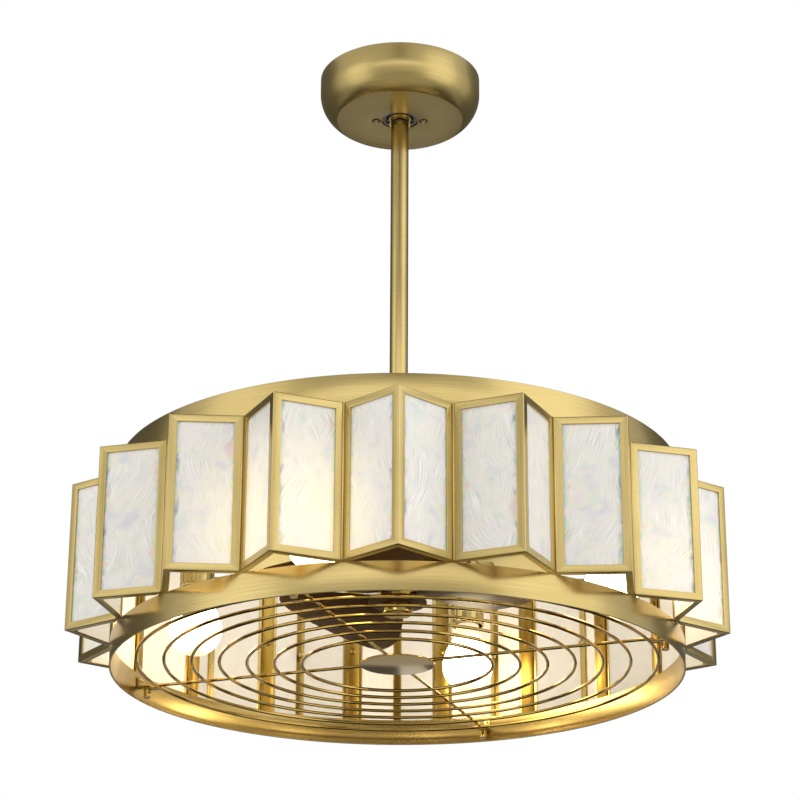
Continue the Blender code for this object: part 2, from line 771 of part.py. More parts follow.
def make_clips():
    wall_end = reach_to_wall(clip_width)
    outline = [(clip_end, clip_bottom_z), (wall_end, clip_bottom_z), (wall_end, clip_bottom_z + clip_height),
               (wall_end - clip_wall, clip_bottom_z + clip_height), (wall_end - clip_wall, clip_bottom_z + clip_wall),
               (clip_end, clip_bottom_z + clip_wall)]
    clip = upright_shape("grille_clip", outline, clip_width)
    head_top = tab_bottom_z - seat_gap
    tip_z = clip_bottom_z + clip_wall + thumb_shank_stand
    screw = [(0, tip_z), (thumb_shank_radius, tip_z), (thumb_shank_radius, head_top), (thumb_head_radius, head_top),
             (thumb_head_radius, head_top - thumb_head_height), (0, head_top - thumb_head_height)]
    screw = turned("thumb_screw", screw, steps=small_steps)
    for index in range(arm_count):
        azimuth = arm_azimuth(index)
        holder = place("grille_clip_%d" % (index + 1), spun(clip, azimuth), brass)
        hole = cylinder("clip_hole", thumb_shank_radius + thumb_shank_clearance, clip_wall + 2 * overrun,
                        small_steps)
        cut(holder, tool("clip_hole", hole, polar(thumb_reach, azimuth, clip_bottom_z + clip_wall / 2)))
        place("thumb_screw_%d" % (index + 1), screw, brass, polar(thumb_reach, azimuth))


remove_everything()
parts = new_collection("chandelier_fan")
cutters = new_collection("cutters")

brass = make_material("satin_brass", (0.52, 0.41, 0.2), 1.0, 0.34)
motor_casting = make_material("plated_aluminium", (0.52, 0.41, 0.2), 1.0, 0.38)
steel = make_material("zinc_plated_steel", (0.56, 0.56, 0.55), 1.0, 0.4)
black_plastic = make_material("black_nylon", (0.02, 0.02, 0.02), 0.0, 0.5)
dark_brown = make_material("dark_brown_gloss", (0.024, 0.009, 0.004), 0.0, 0.18)
pearl_glass = make_material("pearl_glass", (0.84, 0.81, 0.76), 0.0, 0.2, 0.3)
warm_glass = make_material("frosted_lamp_glass", (0.95, 0.9, 0.78), 0.0, 0.3)

make_bracket()
make_canopy()
make_rod()
make_panels()
make_drum_frame()
make_arms()
make_lamps()
make_motor()
make_rotor()
make_grille()
make_clips()
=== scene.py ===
import math

import bmesh
import bpy
from mathutils import Matrix, Vector


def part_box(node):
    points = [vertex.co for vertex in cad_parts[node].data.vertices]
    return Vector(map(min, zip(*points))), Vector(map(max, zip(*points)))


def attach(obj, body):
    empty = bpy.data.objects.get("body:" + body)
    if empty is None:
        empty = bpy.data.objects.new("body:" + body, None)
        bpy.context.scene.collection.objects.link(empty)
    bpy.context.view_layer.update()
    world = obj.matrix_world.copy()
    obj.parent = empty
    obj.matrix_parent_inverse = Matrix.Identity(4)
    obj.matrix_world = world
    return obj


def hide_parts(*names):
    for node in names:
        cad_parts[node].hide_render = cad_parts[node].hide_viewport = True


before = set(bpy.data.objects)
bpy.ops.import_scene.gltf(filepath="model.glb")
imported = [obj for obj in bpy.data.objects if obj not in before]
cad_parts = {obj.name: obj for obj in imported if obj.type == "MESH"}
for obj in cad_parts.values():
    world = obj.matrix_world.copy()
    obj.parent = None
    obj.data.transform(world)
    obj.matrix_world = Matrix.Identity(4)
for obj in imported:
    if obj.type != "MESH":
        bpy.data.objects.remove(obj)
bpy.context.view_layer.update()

mm = 0.001


# Small helpers

def sizes(**lengths):  # a piece's values, given in millimetres
    return {name: length * mm for name, length in lengths.items()}


def polar(radius, azimuth, height=0.0):
    angle = math.radians(azimuth)
    return Vector((radius * math.sin(angle), -radius * math.cos(angle), height))


def spinBy(degrees, axis):
    return Matrix.Rotation(math.radians(degrees), 4, axis)


def shiftBy(x, y, z):
    return Matrix.Translation((x, y, z))


def linked(name, data):
    item = bpy.data.objects.new(name, data)
    bpy.context.scene.collection.objects.link(item)
    return item


def numbered(name, count):  # the names of a row of CAD nodes, from 1 up
    return ["%s_%d" % (name, i + 1) for i in range(count)]


def hexColour(text):  # sRGB hex to the linear colour that shaders take
    parts = [int(text[i:i + 2], 16) / 255 for i in (1, 3, 5)]
    linear = [c / 12.92 if c <= 0.04045 else ((c + 0.055) / 1.055) ** 2.4 for c in parts]
    return (*linear, 1.0)


# Meshes

def finishMesh(work, name):
    mesh = bpy.data.meshes.new(name)
    work.to_mesh(mesh)
    work.free()
    return mesh


def shadeMesh(mesh, sharpAngle=24):
    mesh.shade_smooth()
    mesh.set_sharp_from_angle(angle=math.radians(sharpAngle))
    return mesh


def plainMesh(item, keepLayers=True):
    # an object's mesh with its modifiers worked in; the object itself goes
    bpy.context.view_layer.update()
    graph = bpy.context.evaluated_depsgraph_get()
    mesh = bpy.data.meshes.new_from_object(item.evaluated_get(graph), preserve_all_data_layers=keepLayers,
                                           depsgraph=graph)
    bpy.data.objects.remove(item, do_unlink=True)
    return mesh


def mapGrain(mesh, along):
    # a UV map in metres: u runs along the brushing, v across it. "round" brushes round the Z axis
    layer = mesh.uv_layers.new(name="grain")
    for face in mesh.polygons:
        centre, normal = face.center, face.normal
        radius = math.hypot(centre.x, centre.y)
        if along == "round":
            home = math.atan2(centre.x, -centre.y)
            way = Vector((math.cos(home), math.sin(home), 0))
        else:
            way = along - normal * along.dot(normal)
            way = way.normalized() if way.length > 0.1 else normal.orthogonal().normalized()
        side = normal.cross(way)
        for loop in face.loop_indices:
            point = mesh.vertices[mesh.loops[loop].vertex_index].co
            if along == "round":
                turn = math.atan2(point.x, -point.y) - home
                turn = (turn + math.pi) % (2 * math.pi) - math.pi
                layer.data[loop].uv = ((home + turn) * radius, point.dot(side))
            else:
                layer.data[loop].uv = (point.dot(way), point.dot(side))
    return mesh


# a fillet takes at most this share of a side, and is drawn in steps of so many degrees, finer over 3 mm
filletRule = dict(share=0.49, largeOver=3 * mm, largeStep=9, smallStep=22)


def rounded(profile, closed):
    # profile points (radius, height, fillet in millimetres) become plain points with the corners filleted
    rule, out, count = filletRule, [], len(profile)
    for index, (x, y, fillet) in enumerate(profile):
        here, fillet = Vector((x, y)), fillet * mm
        inside = closed or 0 < index < count - 1
        if not inside or fillet <= 0:
            out.append((x, y))
            continue
        before, after = Vector(profile[index - 1][:2]) - here, Vector(profile[(index + 1) % count][:2]) - here
        half = before.angle(after) / 2
        reach = min(fillet / math.tan(half), before.length * rule["share"], after.length * rule["share"])
        radius = reach * math.tan(half)
        start, middle = here + before.normalized() * reach, (before.normalized() + after.normalized()).normalized()
        centre = here + middle * (radius / math.sin(half))
        sweep = math.pi - 2 * half
        step = rule["largeStep"] if fillet > rule["largeOver"] else rule["smallStep"]
        steps = max(2, round(math.degrees(sweep) / step))
        turn = 1 if before.x * after.y - before.y * after.x < 0 else -1
        for i in range(steps + 1):
            spot = centre + Matrix.Rotation(turn * sweep * i / steps, 2) @ (start - centre)
            out.append((spot.x, spot.y))
    return out


def arcPoints(centre, radius, first, last, steps):
    # profile points on an arc, from one angle to another in degrees; 0 points away from the axis, and 90 up
    angles = [math.radians(first + (last - first) * i / steps) for i in range(steps + 1)]
    return [(centre[0] + radius * math.cos(angle), centre[1] + radius * math.sin(angle), 0) for angle in angles]


def discProfile(radius, low, high, highSoft, lowSoft):
    return [(0, high, 0), (radius, high, highSoft), (radius, low, lowSoft), (0, low, 0)]


def tubeProfile(outer, inner, low, high, softs):
    corners = ((outer, high), (outer, low), (inner, low), (inner, high))
    return [(*corner, soft) for corner, soft in zip(corners, softs)]


def tableProfile(points, base=0.0):  # a table in millimetres, its heights counted from the base
    return [(radius * mm, base + height * mm, fillet) for radius, height, fillet in points]


def bridge(work, one, two):
    # quads between two closed rows of vertices, and triangles where a row is one point
    faces = []
    for i in range(len(one)):
        j = (i + 1) % len(one)
        corners = list(dict.fromkeys((one[i], one[j], two[j], two[i])))
        if len(corners) > 2:
            faces.append(work.faces.new(corners))
    return faces


def latheMesh(name, profile, closed=False, steps=128):
    # turns a profile round Z; an open one starts and ends on the axis
    work = bmesh.new()
    rows = []
    for radius, height in rounded(profile, closed):
        if radius < 1e-7:
            rows.append([work.verts.new((0, 0, height))] * steps)
        else:
            rows.append([work.verts.new(polar(radius, 360 * i / steps, height)) for i in range(steps)])
    for upper, lower in list(zip(rows, rows[1:])) + ([(rows[-1], rows[0])] if closed else []):
        bridge(work, upper, lower)
    bmesh.ops.recalc_face_normals(work, faces=work.faces)
    return shadeMesh(mapGrain(finishMesh(work, name), "round"))


def prismMesh(name, outline, thickness, edge, along, move):
    # a plate with its outline in XY, bevelled all round, then moved into place
    work = bmesh.new()
    low = [work.verts.new((x, y, -thickness / 2)) for x, y in outline]
    high = [work.verts.new((x, y, thickness / 2)) for x, y in outline]
    work.faces.new(list(reversed(low)))
    work.faces.new(high)
    bridge(work, low, high)
    bmesh.ops.recalc_face_normals(work, faces=work.faces)
    sharp = [e for e in work.edges if e.calc_face_angle(0) > math.radians(25)]
    bmesh.ops.bevel(work, geom=sharp, offset=edge, segments=2, profile=0.5, affect="EDGES")
    mesh = mapGrain(finishMesh(work, name), along)
    mesh.transform(move)
    return shadeMesh(mesh)


def joinMeshes(name, meshes):
    work = bmesh.new()
    for mesh in meshes:
        work.from_mesh(mesh)
    return shadeMesh(finishMesh(work, name))


def mirrored(mesh):
    copy = mesh.copy()
    copy.transform(Matrix.Scale(-1, 4, (1, 0, 0)))
    copy.flip_normals()
    return copy


# stands an outline drawn in radius and height upright on azimuth 0
sideOn = Matrix(((0, 0, -1, 0), (-1, 0, 0, 0), (0, 1, 0, 0), (0, 0, 0, 1)))


# Nodes

def feed(tree, node, inputs):  # links sockets and sets plain values
    for key, value in inputs.items():
        if isinstance(value, bpy.types.NodeSocket):
            tree.links.new(value, node.inputs[key])
        else:
            node.inputs[key].default_value = value
    return node


def addNode(tree, kind, inputs=None, **settings):
    node = tree.nodes.new(kind)
    for key, value in settings.items():
        setattr(node, key, value)
    return feed(tree, node, inputs or {})


def calc(tree, operation, *values):
    return addNode(tree, "ShaderNodeMath", dict(enumerate(values)), operation=operation).outputs[0]


def vectorCalc(tree, operation, first, second=None):
    inputs = {0: first}
    if second is not None:
        inputs["Scale" if operation == "SCALE" else 1] = second
    node = addNode(tree, "ShaderNodeVectorMath", inputs, operation=operation)
    return node.outputs["Value" if operation in ("DISTANCE", "LENGTH") else "Vector"]


def remap(tree, value, source=(0.0, 1.0), target=(0.0, 1.0), kind="LINEAR"):
    inputs = {0: value, "From Min": source[0], "From Max": source[1], "To Min": target[0], "To Max": target[1]}
    return addNode(tree, "ShaderNodeMapRange", inputs, interpolation_type=kind).outputs[0]


def noise(tree, place, scale, detail, output=0, **more):
    inputs = {"Vector": place, "Scale": scale, "Detail": detail, **more}
    return addNode(tree, "ShaderNodeTexNoise", inputs).outputs[output]


def stretched(tree, place, scale, angle=0.0):
    return addNode(tree, "ShaderNodeMapping", {"Vector": place, "Rotation": (0, 0, angle), "Scale": scale}).outputs[0]


def ramp(tree, value, *stops):  # stops: (position, hex colour)
    node = addNode(tree, "ShaderNodeValToRGB", {0: value})
    elements = node.color_ramp.elements
    while len(elements) > 1:
        elements.remove(elements[-1])
    elements[0].position, elements[0].color = stops[0][0], hexColour(stops[0][1])
    for position, colour in stops[1:]:
        elements.new(position).color = hexColour(colour)
    return node.outputs[0]


def mixed(tree, share, first, second, blend="MIX"):
    return addNode(tree, "ShaderNodeMix", {0: share, "A": first, "B": second}, data_type="RGBA",
                   blend_type=blend).outputs["Result"]


def bump(tree, height, strength, distance):
    inputs = {"Height": height, "Strength": strength, "Distance": distance}
    return addNode(tree, "ShaderNodeBump", inputs).outputs[0]


def objectPlace(tree):
    return addNode(tree, "ShaderNodeTexCoord").outputs["Object"]


def grainMap(tree):
    return addNode(tree, "ShaderNodeUVMap", uv_map="grain").outputs[0]


def newTree(name, *sockets):
    # a geometry tree that takes Geometry, the sockets (name, kind, default) and a Finish
    tree = bpy.data.node_groups.new(name, "GeometryNodeTree")
    tree.interface.new_socket("Geometry", in_out="INPUT", socket_type="NodeSocketGeometry")
    for label, kind, value in sockets:
        tree.interface.new_socket(label, in_out="INPUT", socket_type="NodeSocket" + kind).default_value = value
    tree.interface.new_socket("Finish", in_out="INPUT", socket_type="NodeSocketMaterial")
    tree.interface.new_socket("Geometry", in_out="OUTPUT", socket_type="NodeSocketGeometry")
    return tree, addNode(tree, "NodeGroupInput").outputs


def closeTree(tree, given, geometry):
    whole = addNode(tree, "GeometryNodeRealizeInstances", {"Geometry": geometry}).outputs[0]
    dressed = addNode(tree, "GeometryNodeSetMaterial", {"Geometry": whole, "Material": given["Finish"]}).outputs[0]
    addNode(tree, "NodeGroupOutput", {"Geometry": dressed})
    return tree


def buildRepeatTree():
    # repeats a piece round the axis; each copy gets its own number, 0 to 1, as the attribute "piece"
    tree, given = newTree("repeatRoundAxis", ("Count", "Int", 4), ("First Azimuth", "Float", 0.0), ("Seed", "Int", 7))
    index = addNode(tree, "GeometryNodeInputIndex").outputs[0]
    share = calc(tree, "DIVIDE", index, given["Count"])
    degrees = calc(tree, "MULTIPLY_ADD", share, 360.0, given["First Azimuth"])
    spin = addNode(tree, "ShaderNodeCombineXYZ", {"Z": calc(tree, "RADIANS", degrees)}).outputs[0]
    spots = addNode(tree, "GeometryNodePoints", {"Count": given["Count"]}).outputs[0]
    copies = addNode(tree, "GeometryNodeInstanceOnPoints",
                     {"Points": spots, "Instance": given["Geometry"], "Rotation": spin}).outputs[0]
    number = addNode(tree, "FunctionNodeRandomValue", {"ID": index, "Seed": given["Seed"]}, data_type="FLOAT")
    stored = addNode(tree, "GeometryNodeStoreNamedAttribute",
                     {"Geometry": copies, "Name": "piece", "Value": number.outputs[1]},
                     data_type="FLOAT", domain="INSTANCE").outputs[0]
    return closeTree(tree, given, stored)


def buildFluteTree():
    # presses upright flutes into a turned wall between two heights: Count of them, Depth deep
    tree, given = newTree("fluteWall", ("Count", "Int", 24), ("Depth", "Float", 0.001), ("Low", "Float", 0.0),
                          ("High", "Float", 1.0), ("Inner Radius", "Float", 0.0))
    position = addNode(tree, "GeometryNodeInputPosition").outputs[0]
    place = addNode(tree, "ShaderNodeSeparateXYZ", {0: position}).outputs
    phase = calc(tree, "MULTIPLY", calc(tree, "ARCTAN2", place["X"], place["Y"]), given["Count"])
    dip = calc(tree, "MULTIPLY_ADD", calc(tree, "COSINE", phase), 0.5, -0.5)
    flat = addNode(tree, "ShaderNodeCombineXYZ", {"X": place["X"], "Y": place["Y"]}).outputs[0]
    push = vectorCalc(tree, "SCALE", vectorCalc(tree, "NORMALIZE", flat), calc(tree, "MULTIPLY", dip, given["Depth"]))
    picked = True
    for value, limit, test in ((place["Z"], given["Low"], "GREATER_THAN"), (place["Z"], given["High"], "LESS_THAN"),
                               (vectorCalc(tree, "LENGTH", flat), given["Inner Radius"], "GREATER_THAN")):
        passed = addNode(tree, "FunctionNodeCompare", {0: value, 1: limit}, operation=test, data_type="FLOAT")
        picked = addNode(tree, "FunctionNodeBooleanMath", {0: picked, 1: passed.outputs[0]}, operation="AND").outputs[0]
    moved = addNode(tree, "GeometryNodeSetPosition",
                    {"Geometry": given["Geometry"], "Selection": picked, "Offset": push}).outputs[0]
    return closeTree(tree, given, moved)


def buildWireTree():
    # gives a curve a round wire with closed ends
    tree, given = newTree("drawnWire", ("Wire Radius", "Float", 0.001), ("Sides", "Int", 12))
    ring = addNode(tree, "GeometryNodeCurvePrimitiveCircle",
                   {"Resolution": given["Sides"], "Radius": given["Wire Radius"]}, mode="RADIUS").outputs[0]
    wire = addNode(tree, "GeometryNodeCurveToMesh",
                   {"Curve": given["Geometry"], "Profile Curve": ring, "Fill Caps": True}).outputs[0]
    smooth = addNode(tree, "GeometryNodeSetShadeSmooth", {"Geometry": wire, "Shade Smooth": True}).outputs[0]
    return closeTree(tree, given, smooth)


repeatTree, fluteTree, wireTree = buildRepeatTree(), buildFluteTree(), buildWireTree()


def runTree(name, source, tree, values):
    # runs one tree on a mesh or curve and gives back the plain mesh
    item = linked(name, source)
    step = item.modifiers.new(name, "NODES")
    step.node_group = tree
    names = {s.name: s.identifier for s in tree.interface.items_tree
             if s.item_type == "SOCKET" and s.in_out == "INPUT"}
    for label, value in values.items():
        step[names[label]] = value
    mesh = plainMesh(item)
    mesh.name = name
    return mesh


def repeated(name, mesh, count, first, finish, seed=7):
    values = {"Count": count, "First Azimuth": first, "Seed": seed, "Finish": finish}
    return runTree(name, mesh, repeatTree, values)


def addPiece(name, mesh, finish, body, stands=()):
    # finish is None where the mesh has its materials already
    piece = linked(name, mesh)
    if finish is not None:
        mesh.materials.clear()
        mesh.materials.append(finish)
    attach(piece, body)
    if stands:
        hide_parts(*stands)


def addTurned(name, profile, finish, body, slot, stands=(), **shape):
    addPiece(name, latheMesh(name, profile, **shape), finish, body, stands)


# Materials

firstArm = -20.0
lamps = dict(azimuths=[firstArm + 90 * i for i in range(4)], reach=248 * mm, globeHeight=-670.9 * mm)


def newMaterial(name):
    material = bpy.data.materials.new(name)
    material.use_nodes = True
    return material, material.node_tree, material.node_tree.nodes["Principled BSDF"]


def makeBrass(name, light, dark, roughness, streak=0.04, anisotropic=0.55, coat=0.5):
    # brushed brass under clear lacquer: streaks along the grain spread each highlight across it. The brush lines
    # are about 0.1 mm apart on the real sheet and are drawn 0.4 mm apart, or they would not show
    v = dict(lineStretch=(11, 2800, 1), lineShare=0.75, cloudScale=9.0, cloudShare=0.35, relief=0.035,
             depth=0.3 * mm, coatRoughness=0.16)
    material, tree, shader = newMaterial(name)
    lines = noise(tree, stretched(tree, grainMap(tree), v["lineStretch"]), 1.0, 3.0, Roughness=0.6)
    clouds = noise(tree, objectPlace(tree), v["cloudScale"], 2.0)
    both = calc(tree, "MULTIPLY_ADD", clouds, v["cloudShare"], calc(tree, "MULTIPLY", lines, v["lineShare"]))
    feed(tree, shader, {
        "Base Color": ramp(tree, both, (0.37, dark), (0.67, light)),
        "Roughness": remap(tree, lines, target=(roughness - streak, roughness + streak)),
        "Normal": bump(tree, lines, v["relief"], v["depth"]),
        "Tangent": addNode(tree, "ShaderNodeTangent", direction_type="UV_MAP", uv_map="grain").outputs[0],
        "Metallic": 1.0, "Anisotropic": anisotropic, "Coat Weight": coat, "Coat Roughness": v["coatRoughness"]})
    return material


def makePearl():
    # river shell laid in tiles under clear glass: fine feather strokes in a soft white, pastel fire and grey wisps
    # along the panes' upright edges, and a painted glow of lamp light, cream where a lamp stands close behind
    v = sizes(strokeWidth=0.95, strokeLength=30, tile=42, warp=62, sway=35, patch=34, hue=20, rag=26,
              edgeFrom=36.5, edgeTo=44.6, dabFrom=23.1, dabTo=28.1, glowFrom=50, glowReach=150, glowOut=30, glowDrop=12)
    material, tree, shader = newMaterial("riverShellUnderGlass")
    place, flat = objectPlace(tree), grainMap(tree)
    # each pane looks at its own part of the pattern
    seed = addNode(tree, "ShaderNodeAttribute", attribute_name="piece", attribute_type="GEOMETRY").outputs["Fac"]
    start = vectorCalc(tree, "ADD", flat, vectorCalc(tree, "SCALE", (3.7, 5.3, 0.0), seed))
    warp = vectorCalc(tree, "SUBTRACT", noise(tree, start, 1 / v["warp"], 0.5, "Color"), (0.5, 0.5, 0.5))
    bent = vectorCalc(tree, "ADD", start, vectorCalc(tree, "SCALE", warp, v["sway"]))
    # the strokes lean another way in each tile
    tiles = addNode(tree, "ShaderNodeTexVoronoi", {"Vector": bent, "Scale": 1 / v["tile"], "Randomness": 0.9})
    tileParts = addNode(tree, "ShaderNodeSeparateColor", {0: tiles.outputs["Color"]})
    lean = remap(tree, tileParts.outputs[0], target=(-0.5, 0.5))
    leaned = addNode(tree, "ShaderNodeVectorRotate", {"Vector": bent, "Angle": lean}, rotation_type="Z_AXIS").outputs[0]
    strokes = noise(tree, stretched(tree, leaned, (1 / v["strokeWidth"], 1 / v["strokeLength"], 1)), 0.8, 3.0,
                    Roughness=0.55, Distortion=0.1)
    strokeTone = ramp(tree, strokes, (0.3, "#CDCAC4"), (0.43, "#E5E1D9"), (0.55, "#EFECE6"), (0.68, "#FFFFFF"))
    # most of the shell is milky; the strokes come up in patches, and there a few of them end in dark hairlines
    patch = noise(tree, start, 1 / v["patch"], 2.0)
    milky = mixed(tree, remap(tree, patch, (0.43, 0.66), (0.22, 1.0)), hexColour("#F0EAE1"), strokeTone)
    hairline = calc(tree, "COMPARE", strokes, 0.43, 0.0022)
    hairs = calc(tree, "MULTIPLY", hairline, remap(tree, patch, (0.55, 0.63), (0.0, 0.7)))
    lined = mixed(tree, hairs, milky, hexColour("#8B8881"))
    # the fire's hue wanders slowly; it is strong along the upright edges and faint in patches elsewhere
    hueNoise = noise(tree, bent, 1 / v["hue"], 2.0)
    hues = ramp(tree, hueNoise, (0.3, "#E5D2F8"), (0.4, "#B3B1F4"), (0.46, "#A9CCF7"), (0.53, "#BAEBD4"),
                (0.6, "#F2F3D8"), (0.68, "#F4DFEB"))
    across = addNode(tree, "ShaderNodeSeparateXYZ", {0: flat}).outputs[0]
    ragged = calc(tree, "MULTIPLY_ADD", hueNoise, v["rag"], calc(tree, "ABSOLUTE", across))
    atEdge = remap(tree, ragged, (v["edgeFrom"], v["edgeTo"]), kind="SMOOTHSTEP")
    patchy = remap(tree, patch, (0.34, 0.47), (0.32, 0.06))
    fire = calc(tree, "MAXIMUM", calc(tree, "MULTIPLY", atEdge, 0.95), patchy)
    tinted = mixed(tree, fire, lined, hues, "MULTIPLY")
    # short grey dabs run in from one edge, where the shell thins
    dabs = noise(tree, stretched(tree, bent, (210, 75, 1), 0.12), 1.0, 1.5)
    oneSide = remap(tree, across, (-v["dabFrom"], -v["dabTo"]), kind="SMOOTHSTEP")
    dabMask = calc(tree, "MULTIPLY", remap(tree, dabs, (0.47, 0.66)), oneSide)
    dabShare = calc(tree, "MULTIPLY", dabMask, remap(tree, patch, (0.44, 0.56), (0.0, 0.85)))
    # the four lamps' light through the shell, painted as a glow: a faint lift all over, and cream close to a lamp
    paintedGlow = 0.0
    for azimuth in lamps["azimuths"]:
        spot = polar(lamps["reach"] + v["glowOut"], azimuth, lamps["globeHeight"] - v["glowDrop"])
        gap = vectorCalc(tree, "DISTANCE", place, tuple(spot))
        near = remap(tree, gap, (v["glowFrom"], v["glowReach"]), (1.0, 0.0), "SMOOTHSTEP")
        paintedGlow = calc(tree, "MAXIMUM", paintedGlow, near)
    feed(tree, shader, {
        "Base Color": mixed(tree, dabShare, tinted, hexColour("#8A92A0")),
        "Emission Color": mixed(tree, paintedGlow, hexColour("#3A3834"), hexColour("#FFE7A6")), "Emission Strength": 0.4,
        "Normal": bump(tree, strokes, 0.18, 0.6 * mm),
        "Roughness": 0.34, "IOR": 1.5, "Coat Weight": 0.25, "Coat Roughness": 0.12})
    return material


def makeMottled(name, light, dark, scale, detail, inputs, relief=0.0, depth=0.0):
    # a fine mottle of two close tones, with a faint relief of the same grain
    material, tree, shader = newMaterial(name)
    mottle = noise(tree, objectPlace(tree), scale, detail)
    feed(tree, shader, {"Base Color": ramp(tree, mottle, (0.3, dark), (0.7, light)), **inputs})
    if relief:
        feed(tree, shader, {"Normal": bump(tree, mottle, relief, depth)})
    return material, tree, shader


def makeBrownLacquer():
    # sprayed dark brown lacquer on a moulded blade: deep and even, a satin that shows no sharp reflection
    inputs = {"Roughness": 0.48, "Specular IOR Level": 0.16, "Specular Tint": hexColour("#D9AE6C")}
    material, tree, shader = makeMottled("darkBrownLacquer", "#52330F", "#40260A", 14.0, 3.0, inputs)
    peel = noise(tree, objectPlace(tree), 420.0, 1.0)
    feed(tree, shader, {"Normal": bump(tree, peel, 0.06, 0.4 * mm)})
    return material


def makeLampGlass():
    # sand frosted lamp glass, lit: white hot in the globe, and cream at its bottom and in the neck
    v = sizes(bottom=-701.4, hotLow=-682, hotHigh=-658, neck=-632)
    inputs = {"Emission Strength": 9.5, "Roughness": 0.5}
    material, tree, shader = makeMottled("frostedLampGlass", "#E2D8BE", "#D9CDAF", 900.0, 2.0, inputs)
    height = addNode(tree, "ShaderNodeSeparateXYZ", {0: objectPlace(tree)}).outputs["Z"]
    low = remap(tree, height, (v["bottom"], v["hotLow"]), (0.09, 1.0), "SMOOTHSTEP")
    high = remap(tree, height, (v["neck"], v["hotHigh"]), (0.08, 1.0), "SMOOTHSTEP")
    light = vectorCalc(tree, "SCALE", hexColour("#FFECC2")[:3], calc(tree, "MULTIPLY", low, high))
    feed(tree, shader, {"Emission Color": light})
    return material


def makePlated(name, light, dark, roughness, scale, metallic=1.0):
    # plated steel or moulded nylon: dull and even
    return makeMottled(name, light, dark, scale, 4.0, {"Metallic": metallic, "Roughness": roughness}, 0.1, 0.2 * mm)[0]


brassSheet = makeBrass("brushedBrassSheet", "#CFB876", "#B29A59", 0.25)
brassSpun = makeBrass("spunBrass", "#CDB775", "#AF9756", 0.32, anisotropic=0.4)
brassTurned = makeBrass("turnedBrass", "#D6BC76", "#AE9552", 0.2, anisotropic=0.4)
# the strips' brass is darker and deeper than the sheet's: painted shade for the strips inside the drum
brassStripPaintedShade = makeBrass("brassStrip", "#C09E48", "#98762C", 0.33, anisotropic=0.3, coat=0.2)
brassWire = makeBrass("drawnBrassWire", "#D0AC58", "#A8883E", 0.1, streak=0.02, anisotropic=0.0, coat=0.3)
pearl = makePearl()
# cream opal sheet behind the shell: smooth and even. Its glow is painted light, standing in for the daylight that comes
# through from outside
opalBack = makeMottled("creamOpalSheet", "#F6F2EA", "#F0EBE1", 130.0, 3.0, {
    "Emission Color": hexColour("#FFF6E4"), "Emission Strength": 0.1, "Roughness": 0.5}, 0.1, 0.3 * mm)[0]
brownLacquer = makeBrownLacquer()
lampGlass = makeLampGlass()
# zinc plate with its tones set well below plain zinc: painted shade for the bracket where it shows in the canopy's hole
zincWithPaintedShade = makePlated("zincPlatedSteel", "#A09E98", "#7E7C75", 0.38, 160.0)
nylon = makePlated("blackMouldedNylon", "#1D1C1B", "#121211", 0.45, 300.0, 0.0)
nickel = makePlated("nickelPlatedScrew", "#A9A49A", "#7F7A70", 0.3, 240.0)
print("materials made")


# Canopy, rod and coupling

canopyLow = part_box("canopy")[0].z
canopy = sizes(radius=96.5, straight=20, flat=76, wall=1.5, hole=22, screwReach=28.5)


def canopyProfile():
    # a straight wall, a bowl of one arc, and a crease where it meets the flat underside
    v, steps = canopy, 14
    inset, depth = v["radius"] - v["flat"], -canopyLow - v["straight"]
    bowl = (inset ** 2 + depth ** 2) / (2 * inset)
    inner, centre = bowl - v["wall"], (v["radius"] - bowl, -v["straight"])
    outerTurn, innerTurn = math.degrees(math.asin(depth / bowl)), math.degrees(math.asin((depth - v["wall"]) / inner))
    outside = arcPoints(centre, bowl, 0, -outerTurn, steps)
    crease = (*outside.pop()[:2], 0.9)
    hole = [(v["hole"], canopyLow, 0.5), (v["hole"], canopyLow + v["wall"], 0.3)]
    inside = arcPoints(centre, inner, -innerTurn, 0, steps)
    return [(v["radius"], 0, 0.5)] + outside + [crease] + hole + inside + [(v["radius"] - v["wall"], 0, 0.3)]


addTurned("canopyShell", canopyProfile(), brassSpun, "ceiling_fitting", "satin_brass", ["canopy"], closed=True,
          steps=160)

rodLow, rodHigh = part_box("downrod")
rod = sizes(outer=10.65, inner=8.65)
rodProfile = tubeProfile(rod["outer"], rod["inner"], rodLow.z, rodHigh.z, (0.4, 0.4, 0.2, 0.2))
addTurned("rodTube", rodProfile, brassSheet, "hanging_frame", "satin_brass", ["downrod"], closed=True, steps=96)

couplingLow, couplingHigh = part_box("rod_coupling")
coupling = sizes(bore=10.95, socket=35, neck=16, neckHeight=26, base=30, baseHeight=6)


def couplingProfile():
    # a neck that opens into a cone on a short base, with the rod's socket in its top
    v, low, high = coupling, couplingLow.z, couplingHigh.z
    return [(0, high - v["socket"], 0), (v["bore"], high - v["socket"], 0), (v["bore"], high, 0.4),
            (v["neck"], high, 1.2), (v["neck"], high - v["neckHeight"], 3), (v["base"], low + v["baseHeight"], 1.5),
            (v["base"], low, 0.5), (0, low, 0)]


addTurned("rodCoupler", couplingProfile(), brassTurned, "hanging_frame", "satin_brass", ["rod_coupling"], steps=96)

ball = dict(sizes(middle=-36, radius=22, bore=10.95, top=-18, bottom=-52), highest=54.9, lowest=-46.7)
ballArc = arcPoints((0, ball["middle"]), ball["radius"], ball["highest"], ball["lowest"], 24)
ballProfile = [(ball["bore"], ball["top"], 0)] + ballArc + [(ball["bore"], ball["bottom"], 0)]
addTurned("hangerBall", ballProfile, nylon, "hanging_frame", "black_nylon", ["hanger_ball"], closed=True, steps=64)

